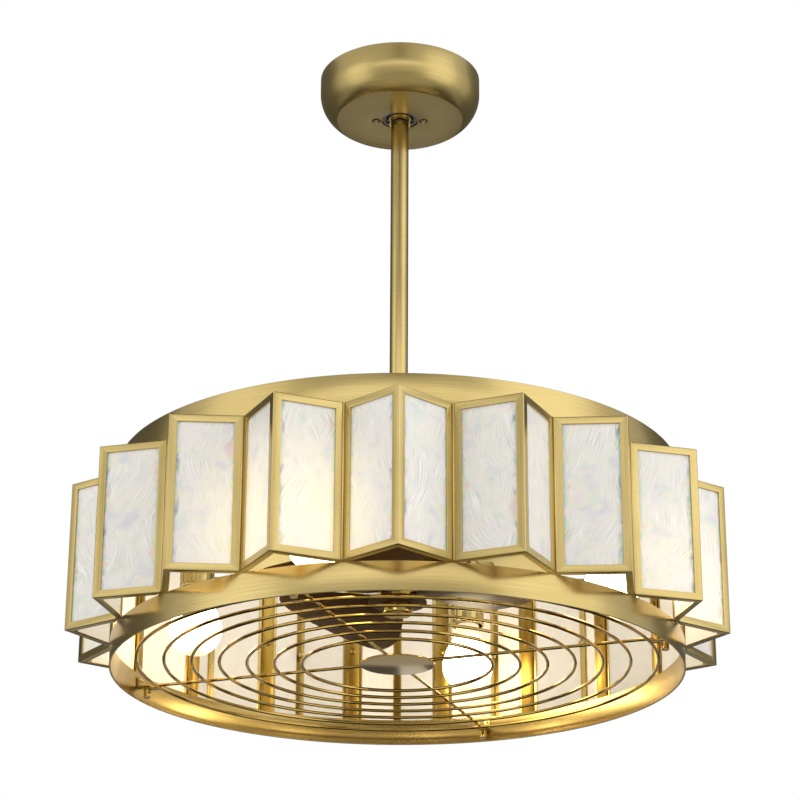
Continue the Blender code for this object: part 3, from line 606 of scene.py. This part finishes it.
# the turned ring under the ball: its corner lies inside the ball's own sphere, so that it swings clear of the bracket
ballRing = sizes(outer=13.8, inner=10.95, low=-53, high=-52.02)
ballRingProfile = tubeProfile(ballRing["outer"], ballRing["inner"], ballRing["low"], ballRing["high"],
                              (0.1, 0.45, 0.3, 0.1))
addTurned("ballRing", ballRingProfile, brassTurned, "hanging_frame", "satin_brass", closed=True, steps=96)

screw = sizes(head=4, face=2.4, height=2.2, rim=1.1, shank=2, shankLength=6, gap=0.56, slotLength=12, slot=1,
              slotDepth=0.9)


def canopyScrewMesh():
    # a cheese head with a domed face and a slot, on the shank that the bracket takes
    v = screw
    base = canopyLow - v["gap"]
    face, end = base - v["height"], base + v["shankLength"]
    item = linked("screwHead", latheMesh("screwHead", [
        (0, end, 0), (v["shank"], end, 0.2), (v["shank"], base, 0), (v["head"], base, 0.2),
        (v["head"], base - v["rim"], 0.5), (v["face"], face, 0.6), (0, face, 0)], steps=40))
    work = bmesh.new()
    bmesh.ops.create_cube(work, size=1.0)
    bmesh.ops.scale(work, vec=(v["slotLength"], v["slot"], 2 * v["slotDepth"]), verts=work.verts)
    bmesh.ops.translate(work, vec=(0, 0, face), verts=work.verts)
    tool = linked("screwSlot", finishMesh(work, "screwSlot"))
    cut = item.modifiers.new("slot", "BOOLEAN")
    cut.operation, cut.object, cut.solver = "DIFFERENCE", tool, "EXACT"
    mesh = plainMesh(item, keepLayers=False)
    bpy.data.objects.remove(tool)
    mesh.transform(shiftBy(0, -canopy["screwReach"], 0))
    return shadeMesh(mesh)


addPiece("canopyScrews", repeated("canopyScrews", canopyScrewMesh(), 2, 90.0, brassTurned), None, "ceiling_fitting",
         ["canopy_screw_left", "canopy_screw_right"])

# a black ring under each canopy screw's head, as painted shade: it draws the dark gap round the head
shadowWasher = sizes(outer=5.2, inner=2.2, thickness=0.5, gap=0.05)
shadowWasherTop = canopyLow - shadowWasher["gap"]
shadowWasherProfile = tubeProfile(shadowWasher["outer"], shadowWasher["inner"], shadowWasherTop - shadowWasher["thickness"], shadowWasherTop,
                            (0, 0.15, 0, 0))
shadowWasherMesh = latheMesh("shadowWasher", shadowWasherProfile, closed=True, steps=40)
shadowWasherMesh.transform(shiftBy(0, -canopy["screwReach"], 0))
addPiece("screwShadowWashers", repeated("screwShadowWashers", shadowWasherMesh, 2, 90.0, nylon), None, "ceiling_fitting")
print("canopy and rod made")


# Drum: rings, posts, frames and panes

drum = dict(sizes(ridgeRadius=370, valleyRadius=321.4, ringRadius=319, ringWall=2, lowerRingTop=-716.7,
                  upperRingLow=-546.1, panelTop=-546.4, panelBottom=-716.4, screwHeight=-631, stripFace=319.4),
            ridges=18)
# the frames' moulding: an L section with a rounded face, and the pane's two layers in it
section = dict(sizes(stile=9, rail=8.2, depth=8, ridgeRound=1.4, railRound=1.3, valleyRound=0.8, flange=4.6, wall=1.5,
                     ridgeLeg=14, gap=0.15, bevel=0.5, bevelFoot=0.12, back=7.8, backBevel=0.4, paneDepth=1.8,
                     paneBack=7.2, paneClear=0.1, paneStep=2), ridgeTurn=43.8)
halfStep = 180 / drum["ridges"]
drumLow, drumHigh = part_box("drum_frame")


def ringMesh(name, low, high):
    outer = drum["ringRadius"]
    return latheMesh(name, tubeProfile(outer, outer - drum["ringWall"], low, high, (0.6,) * 4), closed=True, steps=288)


rings = joinMeshes("drumRings", [ringMesh("lower", drumLow.z, drum["lowerRingTop"]),
                                 ringMesh("upper", drum["upperRingLow"], drumHigh.z)])
addPiece("drumRings", rings, brassSheet, "hanging_frame", ["drum_frame"])

ridgePoint, valleyPoint = polar(drum["ridgeRadius"], 0), polar(drum["valleyRadius"], halfStep)
foldAlong = (valleyPoint - ridgePoint).normalized()
foldInward = Vector((-foldAlong.y, foldAlong.x, 0))
foldWidth = (valleyPoint - ridgePoint).length
valleyPlane = Vector((math.cos(math.radians(halfStep)), math.sin(math.radians(halfStep)), 0))
ridgeSlope = -foldInward.x / foldAlong.x  # how far the ridge's mitre runs along the fold for each metre of depth
valleySlope = -foldInward.dot(valleyPlane) / foldAlong.dot(valleyPlane)


def foldPoint(along, depth, height):
    return ridgePoint + foldAlong * along + foldInward * depth + Vector((0, 0, height))


def valleySide(deep):
    # how far a frame's valley side stands in at a depth: on the mitre first, then clear of the strip behind the valley
    outward = polar(1, halfStep)
    strip = (-foldInward.dot(outward) * deep - drum["valleyRadius"] + drum["stripFace"]) / -foldAlong.dot(outward)
    return max(-valleySlope * deep, strip)


def edgeRound(radius, deep):  # how far a rounded outer edge stands in at a depth
    return radius - math.sqrt(radius ** 2 - max(radius - deep, 0) ** 2)


def frameRows():
    # each row: how far the ridge stile, the valley stile and the rails stand in from the outside, and the depth
    v, soft = section, section["ridgeRound"]
    lift = [(ridgeSlope * deep, deep) for deep in (v["railRound"], 0.7 * v["railRound"])]
    turns = [math.radians(v["ridgeTurn"] * (1 - step / 4)) for step in range(5)]  # from the ridge's mitre to the face
    lift += [(ridgeSlope * soft - soft * math.sin(turn), soft - soft * math.cos(turn)) for turn in turns]
    rows = [(along, edgeRound(v["valleyRound"], deep) + valleySide(deep), edgeRound(v["railRound"], deep), deep)
            for along, deep in lift]
    for inset, deep in ((v["bevel"], 0), (v["bevelFoot"], v["bevelFoot"]), (0, v["bevel"]), (0, v["flange"])):
        rows.append((v["stile"] - inset, v["stile"] - inset, v["rail"] - inset, deep))
    rows += [(v["ridgeLeg"], valleySide(deep) + v["wall"], v["wall"], deep) for deep in (v["flange"], v["back"])]
    for rail, deep in ((v["backBevel"], v["back"]), (0, v["back"] - v["backBevel"])):
        rows.append((ridgeSlope * deep + v["gap"], valleySide(deep) + v["gap"], rail, deep))
    return rows


def frameMesh():
    # one window frame: a moulding with its rebate and back bead, mitred round the pane
    work = bmesh.new()
    layer = work.loops.layers.uv.new("grain")
    grid = []
    for ridgeIn, valleyIn, railIn, deep in frameRows():
        left, right = ridgeIn, foldWidth - valleyIn
        low, high = drum["panelBottom"] + railIn, drum["panelTop"] - railIn
        corners = ((left, low), (right, low), (right, high), (left, high))
        grid.append([work.verts.new(foldPoint(along, deep, height)) for along, height in corners])
    bands = [bridge(work, one, two) for one, two in zip(grid, grid[1:] + grid[:1])]
    bmesh.ops.recalc_face_normals(work, faces=work.faces)
    for band in bands:
        for s, face in enumerate(band):  # rails are brushed along the fold and stiles along their height
            along = foldAlong if s in (0, 2) else Vector((0, 0, 1))
            side = face.normal.cross(along)
            for loop in face.loops:
                loop[layer].uv = (loop.vert.co.dot(along) + 0.37 * s, loop.vert.co.dot(side))
    return shadeMesh(finishMesh(work, "frame"), 18)


def screwHeadMesh(v, crownSoft, steps, place):
    # a round head on its neck, that points at the axis from its place
    head = latheMesh("screwHead", [
        (0, 0, 0), (v["neck"], 0, 0), (v["neck"], v["neckLength"], 0), (v["head"], v["neckLength"], 0.2),
        (v["head"], v["rim"], 0.8), (v["face"], v["length"], crownSoft), (0, v["length"], 0)], steps=steps)
    head.transform(shiftBy(*place) @ spinBy(-90, "X"))
    return head


bead = sizes(radius=1.1, short=0.3, out=0.9)
ridgeScrew = sizes(neck=1.6, neckLength=8, head=3.7, rim=9, face=1.9, length=10.8, sunk=0.4)


def framePairMesh():
    # a ridge: two frames, the bead that closes the valley beside them, and the screw in their inner corner
    one = frameMesh()
    low, high = drum["panelBottom"] + bead["short"], drum["panelTop"] - bead["short"]
    line = latheMesh("bead", discProfile(bead["radius"], low, high, 0.4, 0.9), steps=16)
    line.transform(Matrix.Translation(polar(drum["valleyRadius"] + bead["out"], halfStep)))
    corner = foldPoint(ridgeSlope * section["depth"], section["depth"], 0).length
    head = screwHeadMesh(ridgeScrew, 1, 24, (0, -corner + ridgeScrew["sunk"], drum["screwHeight"]))
    return joinMeshes("framePair", [one, mirrored(one), line, head])


frames = repeated("panelFrames", framePairMesh(), drum["ridges"], 0.0, brassSheet)
addPiece("panelFrames", shadeMesh(frames, 18), None, "hanging_frame",
         ["panel_frame_%02d" % (i + 1) for i in range(drum["ridges"])])


def paneMesh():
    # one pane: shell in the frame's opening and a wider opal sheet behind it. The grain map is measured from the
    # middle, so that the material knows the edges
    v = section
    clear, sheet = v["paneClear"], v["flange"] + v["paneClear"]
    rows = [(v["stile"], v["stile"], v["rail"], v["paneDepth"]), (v["stile"], v["stile"], v["rail"], sheet),
            (v["ridgeLeg"], valleySide(v["flange"]) + v["wall"] + v["paneStep"], v["wall"], sheet),
            (v["ridgeLeg"], valleySide(v["paneBack"]) + v["wall"] + clear, v["wall"], v["paneBack"])]
    middle, centre = foldWidth / 2, (drum["panelTop"] + drum["panelBottom"]) / 2
    work = bmesh.new()
    layer = work.loops.layers.uv.new("grain")
    backs = work.faces.layers.int.new("isBack")
    grid, spots = [], {}
    for ridgeIn, valleyIn, railIn, deep in rows:
        left, right = ridgeIn + clear / 2, foldWidth - valleyIn - clear / 2
        tall = (drum["panelTop"] - drum["panelBottom"]) / 2 - railIn - clear / 2
        grid.append([])
        for along, up in ((left, -tall), (right, -tall), (right, tall), (left, tall)):
            vert = work.verts.new(foldPoint(along, deep, centre + up))
            spots[vert] = (along - middle, up)
            grid[-1].append(vert)
    faces = [(work.faces.new(grid[0]), False), (work.faces.new(list(reversed(grid[-1]))), True)]
    for row, (one, two) in enumerate(zip(grid, grid[1:])):
        faces += [(face, row > 0) for face in bridge(work, one, two)]
    bmesh.ops.recalc_face_normals(work, faces=work.faces)
    for face, isBack in faces:
        face[backs] = isBack
        for loop in face.loops:
            loop[layer].uv = spots[loop.vert]
    return finishMesh(work, "pane")


onePane = paneMesh()
for word, shape, seed, stands in (("Right", onePane, 11, numbered("glass_strip", 6)),
                                  ("Left", mirrored(onePane), 29, ())):
    panes = repeated("shellPanes" + word, shape, drum["ridges"], 0.0, pearl, seed)
    panes.materials.clear()
    for finish in (pearl, opalBack):
        panes.materials.append(finish)
    for face, back in zip(panes.polygons, panes.attributes["isBack"].data):
        face.material_index = 1 if back.value else 0
    addPiece("shellPanes" + word, panes, None, "hanging_frame", stands)

post = sizes(width=15.6, inner=317.3, outer=319.2, low=-717, high=-545.8, edge=0.4)
postScrew = sizes(neck=2.2, neckLength=1, head=3.9, rim=1.9, face=2, length=3.2)


def postMesh():
    # the flat strip behind a valley, from ring to ring, with a round head screw at mid height
    v = post
    half = v["width"] / 2
    outline = [(-half, v["low"]), (half, v["low"]), (half, v["high"]), (-half, v["high"])]
    stand = shiftBy(0, -(v["inner"] + v["outer"]) / 2, 0) @ spinBy(90, "X")
    plate = prismMesh("post", outline, v["outer"] - v["inner"], v["edge"], Vector((0, 1, 0)), stand)
    return joinMeshes("post", [plate, screwHeadMesh(postScrew, 0.8, 28, (0, -v["inner"], drum["screwHeight"]))])


posts = repeated("drumPosts", postMesh(), drum["ridges"], halfStep, brassStripPaintedShade)
addPiece("drumPosts", shadeMesh(posts), None, "hanging_frame")
print("drum made")


# Arms, lamp holders and bulbs

arm = sizes(width=22, thickness=4, root=40, end=316, tab=21, tabWall=3, thinner=0.1, edge=0.5, plate=62)
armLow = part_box("lamp_arms")[0].z


def armMesh():
    # the bars are a hair thinner than the hub plate, so that their faces don't lie in its faces
    v = arm
    low, high, top = armLow + v["thinner"], armLow + v["thickness"] - v["thinner"], armLow + v["tab"]
    tabFace = v["end"] - v["tabWall"]
    outline = [(v["root"], low), (v["end"], low), (v["end"], top), (tabFace, top), (tabFace, high), (v["root"], high)]
    return prismMesh("arm", outline, v["width"], v["edge"], Vector((1, 0, 0)), sideOn)


hubPlate = latheMesh("hubPlate", discProfile(arm["plate"], armLow, armLow + arm["thickness"], 0.5, 0.5), steps=96)
armsMesh = joinMeshes("lampArms", [repeated("armBars", armMesh(), 4, firstArm, brassSheet), hubPlate])
addPiece("lampArms", armsMesh, brassSheet, "hanging_frame", ["lamp_arms"])

# the cup's wall, neck and socket: radius, height above the mouth and fillet in millimetres
holder = dict(sizes(mouth=-620.9, fluteDepth=1.3, fluteLow=3.4, fluteHigh=49, fluteIn=18.8), flutes=22,
              wall=((0, 80, 0), (5, 80, 0.3), (5, 51, 1), (17, 51, 1), (20, 48, 1.5), (20, 3.2, 0.2), (20.4, 2.4, 0.3),
                    (20.4, 0, 0.4), (18.5, 0, 0.3), (18.5, 47, 1), (15.2, 47, 0.5), (15.2, 4, 0.4), (13.5, 4, 0.3),
                    (13.5, 29, 0), (0, 29, 0)))


def holderMesh():
    # a fluted cup on a short neck, with a plain rolled rim and the socket inside
    v = holder
    plain = latheMesh("holderWall", tableProfile(v["wall"], v["mouth"]), steps=176)
    fluted = runTree("holderFlutes", plain, fluteTree, {
        "Count": v["flutes"], "Depth": v["fluteDepth"], "Low": v["mouth"] + v["fluteLow"],
        "High": v["mouth"] + v["fluteHigh"], "Inner Radius": v["fluteIn"], "Finish": brassTurned})
    fluted.transform(shiftBy(0, -lamps["reach"], 0))
    return shadeMesh(fluted, 40)


addPiece("lampHolders", repeated("lampHolders", holderMesh(), 4, firstArm, brassTurned), None, "hanging_frame",
         numbered("lamp_holder", 4))

bulb = dict(sizes(globe=30.3, length=80.5, neck=13.8, neckLength=6, neckFoot=1, cap=12.9, thread=1.1, pitch=3.6,
                  threadTop=22),
            meet=25, turns=5, capTop=((0, 27.8, 0), (4.4, 27.8, 0.5), (11.4, 24, 0.5)),
            capFoot=((12.3, 1.6, 0.3), (0, 1.6, 0)))


def bulbMeshes():
    # the frosted envelope and its rolled thread cap, heights from the holder's mouth
    v, m = bulb, holder["mouth"]
    middle, neckLow, foot = m - v["length"] + v["globe"], m - v["neckLength"], m + v["neckFoot"]
    globe = arcPoints((0, middle), v["globe"], v["meet"], -90, 24)
    points = [(0, foot, 0), (v["neck"] - v["neckFoot"], foot, 0), (v["neck"], m, 0), (v["neck"], neckLow, 0)]
    for i in range(1, 12):  # from the neck into the globe on one smooth line
        t = i / 12
        swell = 0.4 * t + 0.6 * t * t * (3 - 2 * t)
        points.append((v["neck"] + (globe[0][0] - v["neck"]) * swell, neckLow + (globe[0][1] - neckLow) * t, 0))
    cap = tableProfile(v["capTop"], m)
    for i in range(v["turns"]):  # the thread's crests and roots
        height = m + v["threadTop"] - v["pitch"] * i
        cap += [(v["cap"], height, 0.8), (v["cap"] - v["thread"], height - v["pitch"] / 2, 0.8)]
    cap += tableProfile(v["capFoot"], m)
    return latheMesh("envelope", points + globe, steps=72), latheMesh("cap", cap, steps=48)


envelope, capShape = bulbMeshes()
for index, azimuth in enumerate(lamps["azimuths"]):
    glass, cap, body = envelope.copy(), capShape.copy(), "bulb_%d" % (index + 1)
    for mesh in (glass, cap):
        mesh.transform(Matrix.Translation(polar(lamps["reach"], azimuth)))
    addPiece("bulbGlass%d" % (index + 1), glass, lampGlass, body, [body])
    addPiece("bulbCap%d" % (index + 1), cap, nickel, body)
print("lamps made")


# Motor and rotor

motorLow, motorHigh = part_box("motor_housing")
motor = sizes(radius=78, shoulder=16, face=64, bore=6.8, boreDepth=30)


def motorProfile():
    # a drum with a wide chamfer below, and the shaft's bore
    v, low, high = motor, motorLow.z, motorHigh.z
    return [(0, high, 0), (v["radius"], high, 8), (v["radius"], low + v["shoulder"], 3), (v["face"], low, 2),
            (v["bore"], low, 0.4), (v["bore"], low + v["boreDepth"], 0), (0, low + v["boreDepth"], 0)]


addTurned("motorCase", motorProfile(), brassTurned, "hanging_frame", "satin_brass", ["motor_housing"], steps=144)

hubLow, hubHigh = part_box("rotor_hub")
hub = sizes(shaft=6.5, neck=23, neckTop=-630)
hubProfile = [(0, hubHigh.z, 0), (hub["shaft"], hubHigh.z, 0.4), (hub["shaft"], hub["neckTop"], 0),
              (hub["neck"], hub["neckTop"], 1), (hub["neck"], hubLow.z, 1), (0, hubLow.z, 0)]
addTurned("rotorNeck", hubProfile, brassTurned, "rotor", "satin_brass", ["rotor_hub"], steps=96)

plateLow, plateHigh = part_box("blade_plate")
capLow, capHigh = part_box("hub_cap")
discs = sizes(plate=33, cap=17)
addTurned("bladeDisc", discProfile(discs["plate"], plateLow.z, plateHigh.z, 1.2, 1.2), brownLacquer, "rotor",
          "dark_brown_gloss", ["blade_plate"], steps=96)
addTurned("hubCap", discProfile(discs["cap"], capLow.z, capHigh.z, 0.3, 2.5), brassTurned, "rotor", "satin_brass",
          ["hub_cap"], steps=80)

# the outline runs from one corner of the root round the tip to the other, in shares of the radius and the span;
# edgeRows say how far the edge's rounding comes in and stands up or down, in shares of the edge and half the thickness
blade = dict(sizes(radius=189, thickness=2.8, height=-651.8, root=23.8, edge=1.2), span=80, pitch=7.3, first=216.0,
             outline=((0.19, -0.1), (0.3, -0.05), (0.45, -0.01), (0.667, 0.025), (0.778, 0.038), (0.852, 0.062),
                      (0.91, 0.08), (0.958, 0.1), (0.989, 0.12), (1.0, 0.14), (0.995, 0.169), (0.976, 0.206),
                      (0.947, 0.25), (0.915, 0.313), (0.88, 0.388), (0.844, 0.488), (0.823, 0.6), (0.807, 0.713),
                      (0.801, 0.8), (0.791, 0.875), (0.767, 0.925), (0.73, 0.969), (0.677, 0.994), (0.582, 1.0),
                      (0.407, 1.0), (0.265, 0.925), (0.19, 0.86)),
             rootShares=(0.8, 0.65, 0.5, 0.35, 0.2, 0.05), middle=(0, -0.1),
             edgeRows=((1, 1), (0.25, 0.7), (0, 0), (0.25, -0.7), (1, -1)))


def smoothLoop(points, rounds=2):
    # corner cutting on an open line, which keeps its two ends
    for _ in range(rounds):
        out = [points[0]]
        for a, b in zip(points, points[1:]):
            out += [a * 0.75 + b * 0.25, a * 0.25 + b * 0.75]
        points = out + [points[-1]]
    return points


def bladeMesh():
    # a broad petal with softened edges, pitched about its own middle line
    v = blade
    rim = smoothLoop([polar(v["radius"] * r, v["span"] * (t - 0.5)) for r, t in v["outline"]])
    root = [polar(v["root"], v["span"] * (t - 0.5)) for t in v["rootShares"]]
    outline = [Vector((p.x, p.y)) for p in rim + root]
    inwards = []
    for i, point in enumerate(outline):
        tangent = (outline[(i + 1) % len(outline)] - outline[i - 1]).normalized()
        inward = Vector((-tangent.y, tangent.x))
        inwards.append(-inward if inward.dot(Vector(v["middle"]) - point) < 0 else inward)
    work = bmesh.new()
    made = []
    for inset, level in v["edgeRows"]:
        spots = [point + inward * (v["edge"] * inset) for point, inward in zip(outline, inwards)]
        made.append([work.verts.new((spot.x, spot.y, level * v["thickness"] / 2)) for spot in spots])
    for one, two in zip(made, made[1:]):
        bridge(work, one, two)
    work.faces.new(made[0])
    work.faces.new(list(reversed(made[-1])))
    bmesh.ops.triangulate(work, faces=[f for f in work.faces if len(f.verts) > 4])
    bmesh.ops.recalc_face_normals(work, faces=work.faces)
    mesh = mapGrain(finishMesh(work, "petal"), Vector((0, 1, 0)))
    mesh.transform(shiftBy(0, 0, v["height"]) @ spinBy(-v["pitch"], "Y"))
    return shadeMesh(mesh, 50)


addPiece("fanBlades", repeated("fanBlades", bladeMesh(), 3, blade["first"], brownLacquer), None, "rotor",
         numbered("blade", 3))
print("rotor made")


# Grille, clips and thumb screws

grille = dict(sizes(outer=289.6, pitch=30.6, wire=1.9, height=-736.2, spoke=1.8, spokeHeight=-732.8, spokeStart=30,
                    spokeEnd=294, disc=41.6, discThickness=1.5, discWeld=0.6, tabStart=290, tabEnd=311, tabWidth=9,
                    tabLow=-736.9, tabThickness=2.4, tabEdge=0.4), rings=7, steps=192, sides=12)


def wireMesh(name, lines, closed, radius):
    # drawn wires along the lines, with their grain run round the axis
    curve = bpy.data.curves.new(name, "CURVE")
    curve.dimensions = "3D"
    for line in lines:
        spline = curve.splines.new("POLY")
        spline.points.add(len(line) - 1)
        for spot, point in zip(spline.points, line):
            spot.co = (*point, 1)
        spline.use_cyclic_u = closed
    values = {"Wire Radius": radius, "Sides": grille["sides"], "Finish": brassWire}
    return mapGrain(runTree(name, curve, wireTree, values), "round")


def grilleMesh():
    # seven welded wire rings on four spokes, a disc in the middle and a tab at each spoke's end
    v, steps = grille, grille["steps"]
    radii = [v["outer"] - index * v["pitch"] for index in range(v["rings"])]
    circles = [[polar(radius, 360 * i / steps, v["height"]) for i in range(steps)] for radius in radii]
    ends = [[polar(reach, azimuth, v["spokeHeight"]) for reach in (v["spokeStart"], v["spokeEnd"])]
            for azimuth in lamps["azimuths"]]
    rings = wireMesh("ringWires", circles, True, v["wire"])
    spokes = wireMesh("spokeWires", ends, False, v["spoke"])
    top = v["spokeHeight"] - v["spoke"] + v["discWeld"]
    disc = latheMesh("grilleDisc", discProfile(v["disc"], top - v["discThickness"], top, 0.5, 0.5), steps=96)
    half, thick = v["tabWidth"] / 2, v["tabThickness"]
    outline = [(-half, -v["tabEnd"]), (half, -v["tabEnd"]), (half, -v["tabStart"]), (-half, -v["tabStart"])]
    tab = prismMesh("tab", outline, thick, v["tabEdge"], Vector((0, 1, 0)), shiftBy(0, 0, v["tabLow"] + thick / 2))
    return joinMeshes("wireGrille", [rings, spokes, disc, repeated("tabs", tab, 4, firstArm, brassWire)])


addPiece("wireGrille", grilleMesh(), brassWire, "grille", ["grille"])

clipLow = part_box("grille_clip_1")[0].z
clip = dict(sizes(start=301, end=316.3, wall=1.8, height=12, width=12, edge=0.35, rivetSide=3.2, rivetDrop=3),
            rivet=((0, 0, 0), (1.6, 0, 0.2), (1.6, 0.4, 0.3), (0.6, 1.1, 0.3), (0, 1.1, 0)))


def clipMesh():
    # a small angle plate on the ring's wall, with the two rivets that hold it there
    v = clip
    high, wall, foot = clipLow + v["height"], v["end"] - v["wall"], clipLow + v["wall"]
    outline = [(v["start"], clipLow), (v["end"], clipLow), (v["end"], high), (wall, high), (wall, foot),
               (v["start"], foot)]
    parts = [prismMesh("clip", outline, v["width"], v["edge"], Vector((1, 0, 0)), sideOn)]
    for side in (-v["rivetSide"], v["rivetSide"]):
        parts.append(latheMesh("rivet", tableProfile(v["rivet"]), steps=20))
        parts[-1].transform(shiftBy(side, -wall, high - v["rivetDrop"]) @ spinBy(-90, "X"))
    return joinMeshes("clip", parts)


addPiece("grilleClips", shadeMesh(repeated("grilleClips", clipMesh(), 4, firstArm, brassTurned)), None, "hanging_frame",
         numbered("grille_clip", 4))

thumb = dict(sizes(reach=306, head=4.25, low=-746.9, high=-737.2, shank=1.6, tip=-728.4, knurlDepth=0.35, knurlLow=1.4,
                   knurlHigh=0.6, knurlIn=4, chamfer=0.7, chamferHeight=1.2), knurls=26)


def thumbMesh():
    # a knurled brass head with a plain end, on its screwed shank
    v = thumb
    plain = latheMesh("thumbWall", [
        (0, v["tip"], 0), (v["shank"], v["tip"], 0.3), (v["shank"], v["high"], 0), (v["head"], v["high"], 0.5),
        (v["head"], v["low"] + v["chamferHeight"], 0.2), (v["head"] - v["chamfer"], v["low"], 0.4), (0, v["low"], 0)],
        steps=104)
    return shadeMesh(runTree("thumbKnurls", plain, fluteTree, {
        "Count": v["knurls"], "Depth": v["knurlDepth"], "Low": v["low"] + v["knurlLow"],
        "High": v["high"] - v["knurlHigh"], "Inner Radius": v["knurlIn"], "Finish": brassTurned}), 40)


thumbShape = thumbMesh()
for index, azimuth in enumerate(lamps["azimuths"]):
    mesh, body = thumbShape.copy(), "thumb_screw_%d" % (index + 1)
    mesh.transform(Matrix.Translation(polar(thumb["reach"], azimuth)))
    addPiece("thumbScrew%d" % (index + 1), mesh, brassTurned, body, [body])
print("grille made")

# CAD nodes whose shape is right keep it and get a zinc finish, its tones darkened as painted shade
for node in ("ceiling_bracket", "hanger_pin"):
    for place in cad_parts[node].material_slots:
        place.material = zincWithPaintedShade


# Stage, light and camera

stage = dict(floorHeight=-2.6, floorSize=14.0, floorTone="#B9B8B4", shown=1.0, mirrored=0.66, lit=0.88,
             aim=(0, 0, -0.4))
# cards: azimuth, distance, height, size, lean and tone
cards = dict(cardLeft=(-140, 2.6, 0.2, (4.4, 3.6), 0, "#5C5A56"), cardRight=(145, 2.6, 0.2, (3.2, 3.6), 0, "#5C5A56"),
             cardFront=(0, 3.6, 2.3, (1.1, 1.6), 0, "#6C6A65"), cardAbove=(0, 0.2, 2.9, (4.0, 2.6), 90, "#2E2C2A"),
             cardBelow=(180, 1.0, -2.5, (5.6, 3.6), 90, "#161513"))
# soft boxes: azimuth, distance, height, size and power
boxes = dict(softBoxLeft=(-61, 2.6, -0.4, (1.6, 3.0), 11.2), softBoxRight=(59, 2.6, -0.1, (2.1, 3.4), 21),
             softBoxFront=(0, 3.4, 0.5, (5.0, 0.8), 10.5))


def paintedMesh(name, corners, tone, roughness):
    mesh = bpy.data.meshes.new(name)
    mesh.from_pydata(corners, [], [(0, 1, 2, 3)])
    paint, tree, shader = newMaterial(name + "Paint")
    feed(tree, shader, {"Base Color": hexColour(tone), "Roughness": roughness})
    mesh.materials.append(paint)
    return mesh


def addLamp(name, azimuth, distance, height, size, power):
    data = bpy.data.lights.new(name, "AREA")
    data.shape, data.size, data.size_y, data.energy = "RECTANGLE", size[0], size[1], power
    item = linked(name, data)
    item.location = polar(distance, azimuth, height)
    item.rotation_euler = (Vector(stage["aim"]) - item.location).to_track_quat("-Z", "Y").to_euler()


def addCard(name, azimuth, distance, height, size, lean, tone):
    # a matt card that stands outside the picture and that only reflections show, as in any studio that lights metal
    half, tall = size[0] / 2, size[1] / 2
    mesh = paintedMesh(name, [(-half, 0, -tall), (half, 0, -tall), (half, 0, tall), (-half, 0, tall)], tone, 1.0)
    mesh.transform(shiftBy(0, 0, height) @ spinBy(azimuth, "Z") @ shiftBy(0, -distance, 0) @ spinBy(lean, "X"))
    card = linked(name, mesh)
    card.visible_camera = card.visible_diffuse = card.visible_shadow = card.visible_transmission = False


def makeStage():
    # a pale floor in a white room; metal and glass see the room a little darker than the eye does
    v = stage
    world = bpy.data.worlds.new("paleRoom")
    bpy.context.scene.world = world
    world.use_nodes = True
    tree = world.node_tree
    tree.nodes.clear()
    rays = addNode(tree, "ShaderNodeLightPath").outputs
    room = remap(tree, rays["Is Glossy Ray"], target=(v["lit"], v["mirrored"]))
    seen = calc(tree, "MAXIMUM", rays["Is Camera Ray"], rays["Is Transmission Ray"])
    strength = remap(tree, seen, target=(room, v["shown"]))
    back = addNode(tree, "ShaderNodeBackground", {"Color": (1, 1, 1, 1), "Strength": strength}).outputs[0]
    addNode(tree, "ShaderNodeOutputWorld", {"Surface": back})
    half, low = v["floorSize"] / 2, v["floorHeight"]
    corners = [(-half, -half, low), (half, -half, low), (half, half, low), (-half, half, low)]
    linked("paleFloor", paintedMesh("paleFloor", corners, v["floorTone"], 0.9))
    for name, values in cards.items():
        addCard(name, *values)
    for name, values in boxes.items():
        addLamp(name, *values)


def makeCamera():
    # the place and lens that the photograph's corners give
    v = dict(place=(0, -2.730, -1.5006), lens=114, sensor=36, rise=21.63, turn=-0.034, roll=0.252)
    data = bpy.data.cameras.new("photoCamera")
    data.lens, data.sensor_width = v["lens"], v["sensor"]
    camera = linked("photoCamera", data)
    camera.location = v["place"]
    camera.rotation_euler = (spinBy(v["turn"], "Z") @ spinBy(90 + v["rise"], "X") @ spinBy(v["roll"], "Z")).to_euler()
    bpy.context.scene.camera = camera


makeStage()
makeCamera()
bpy.context.scene.view_settings.view_transform = "Standard"
print("stage made")
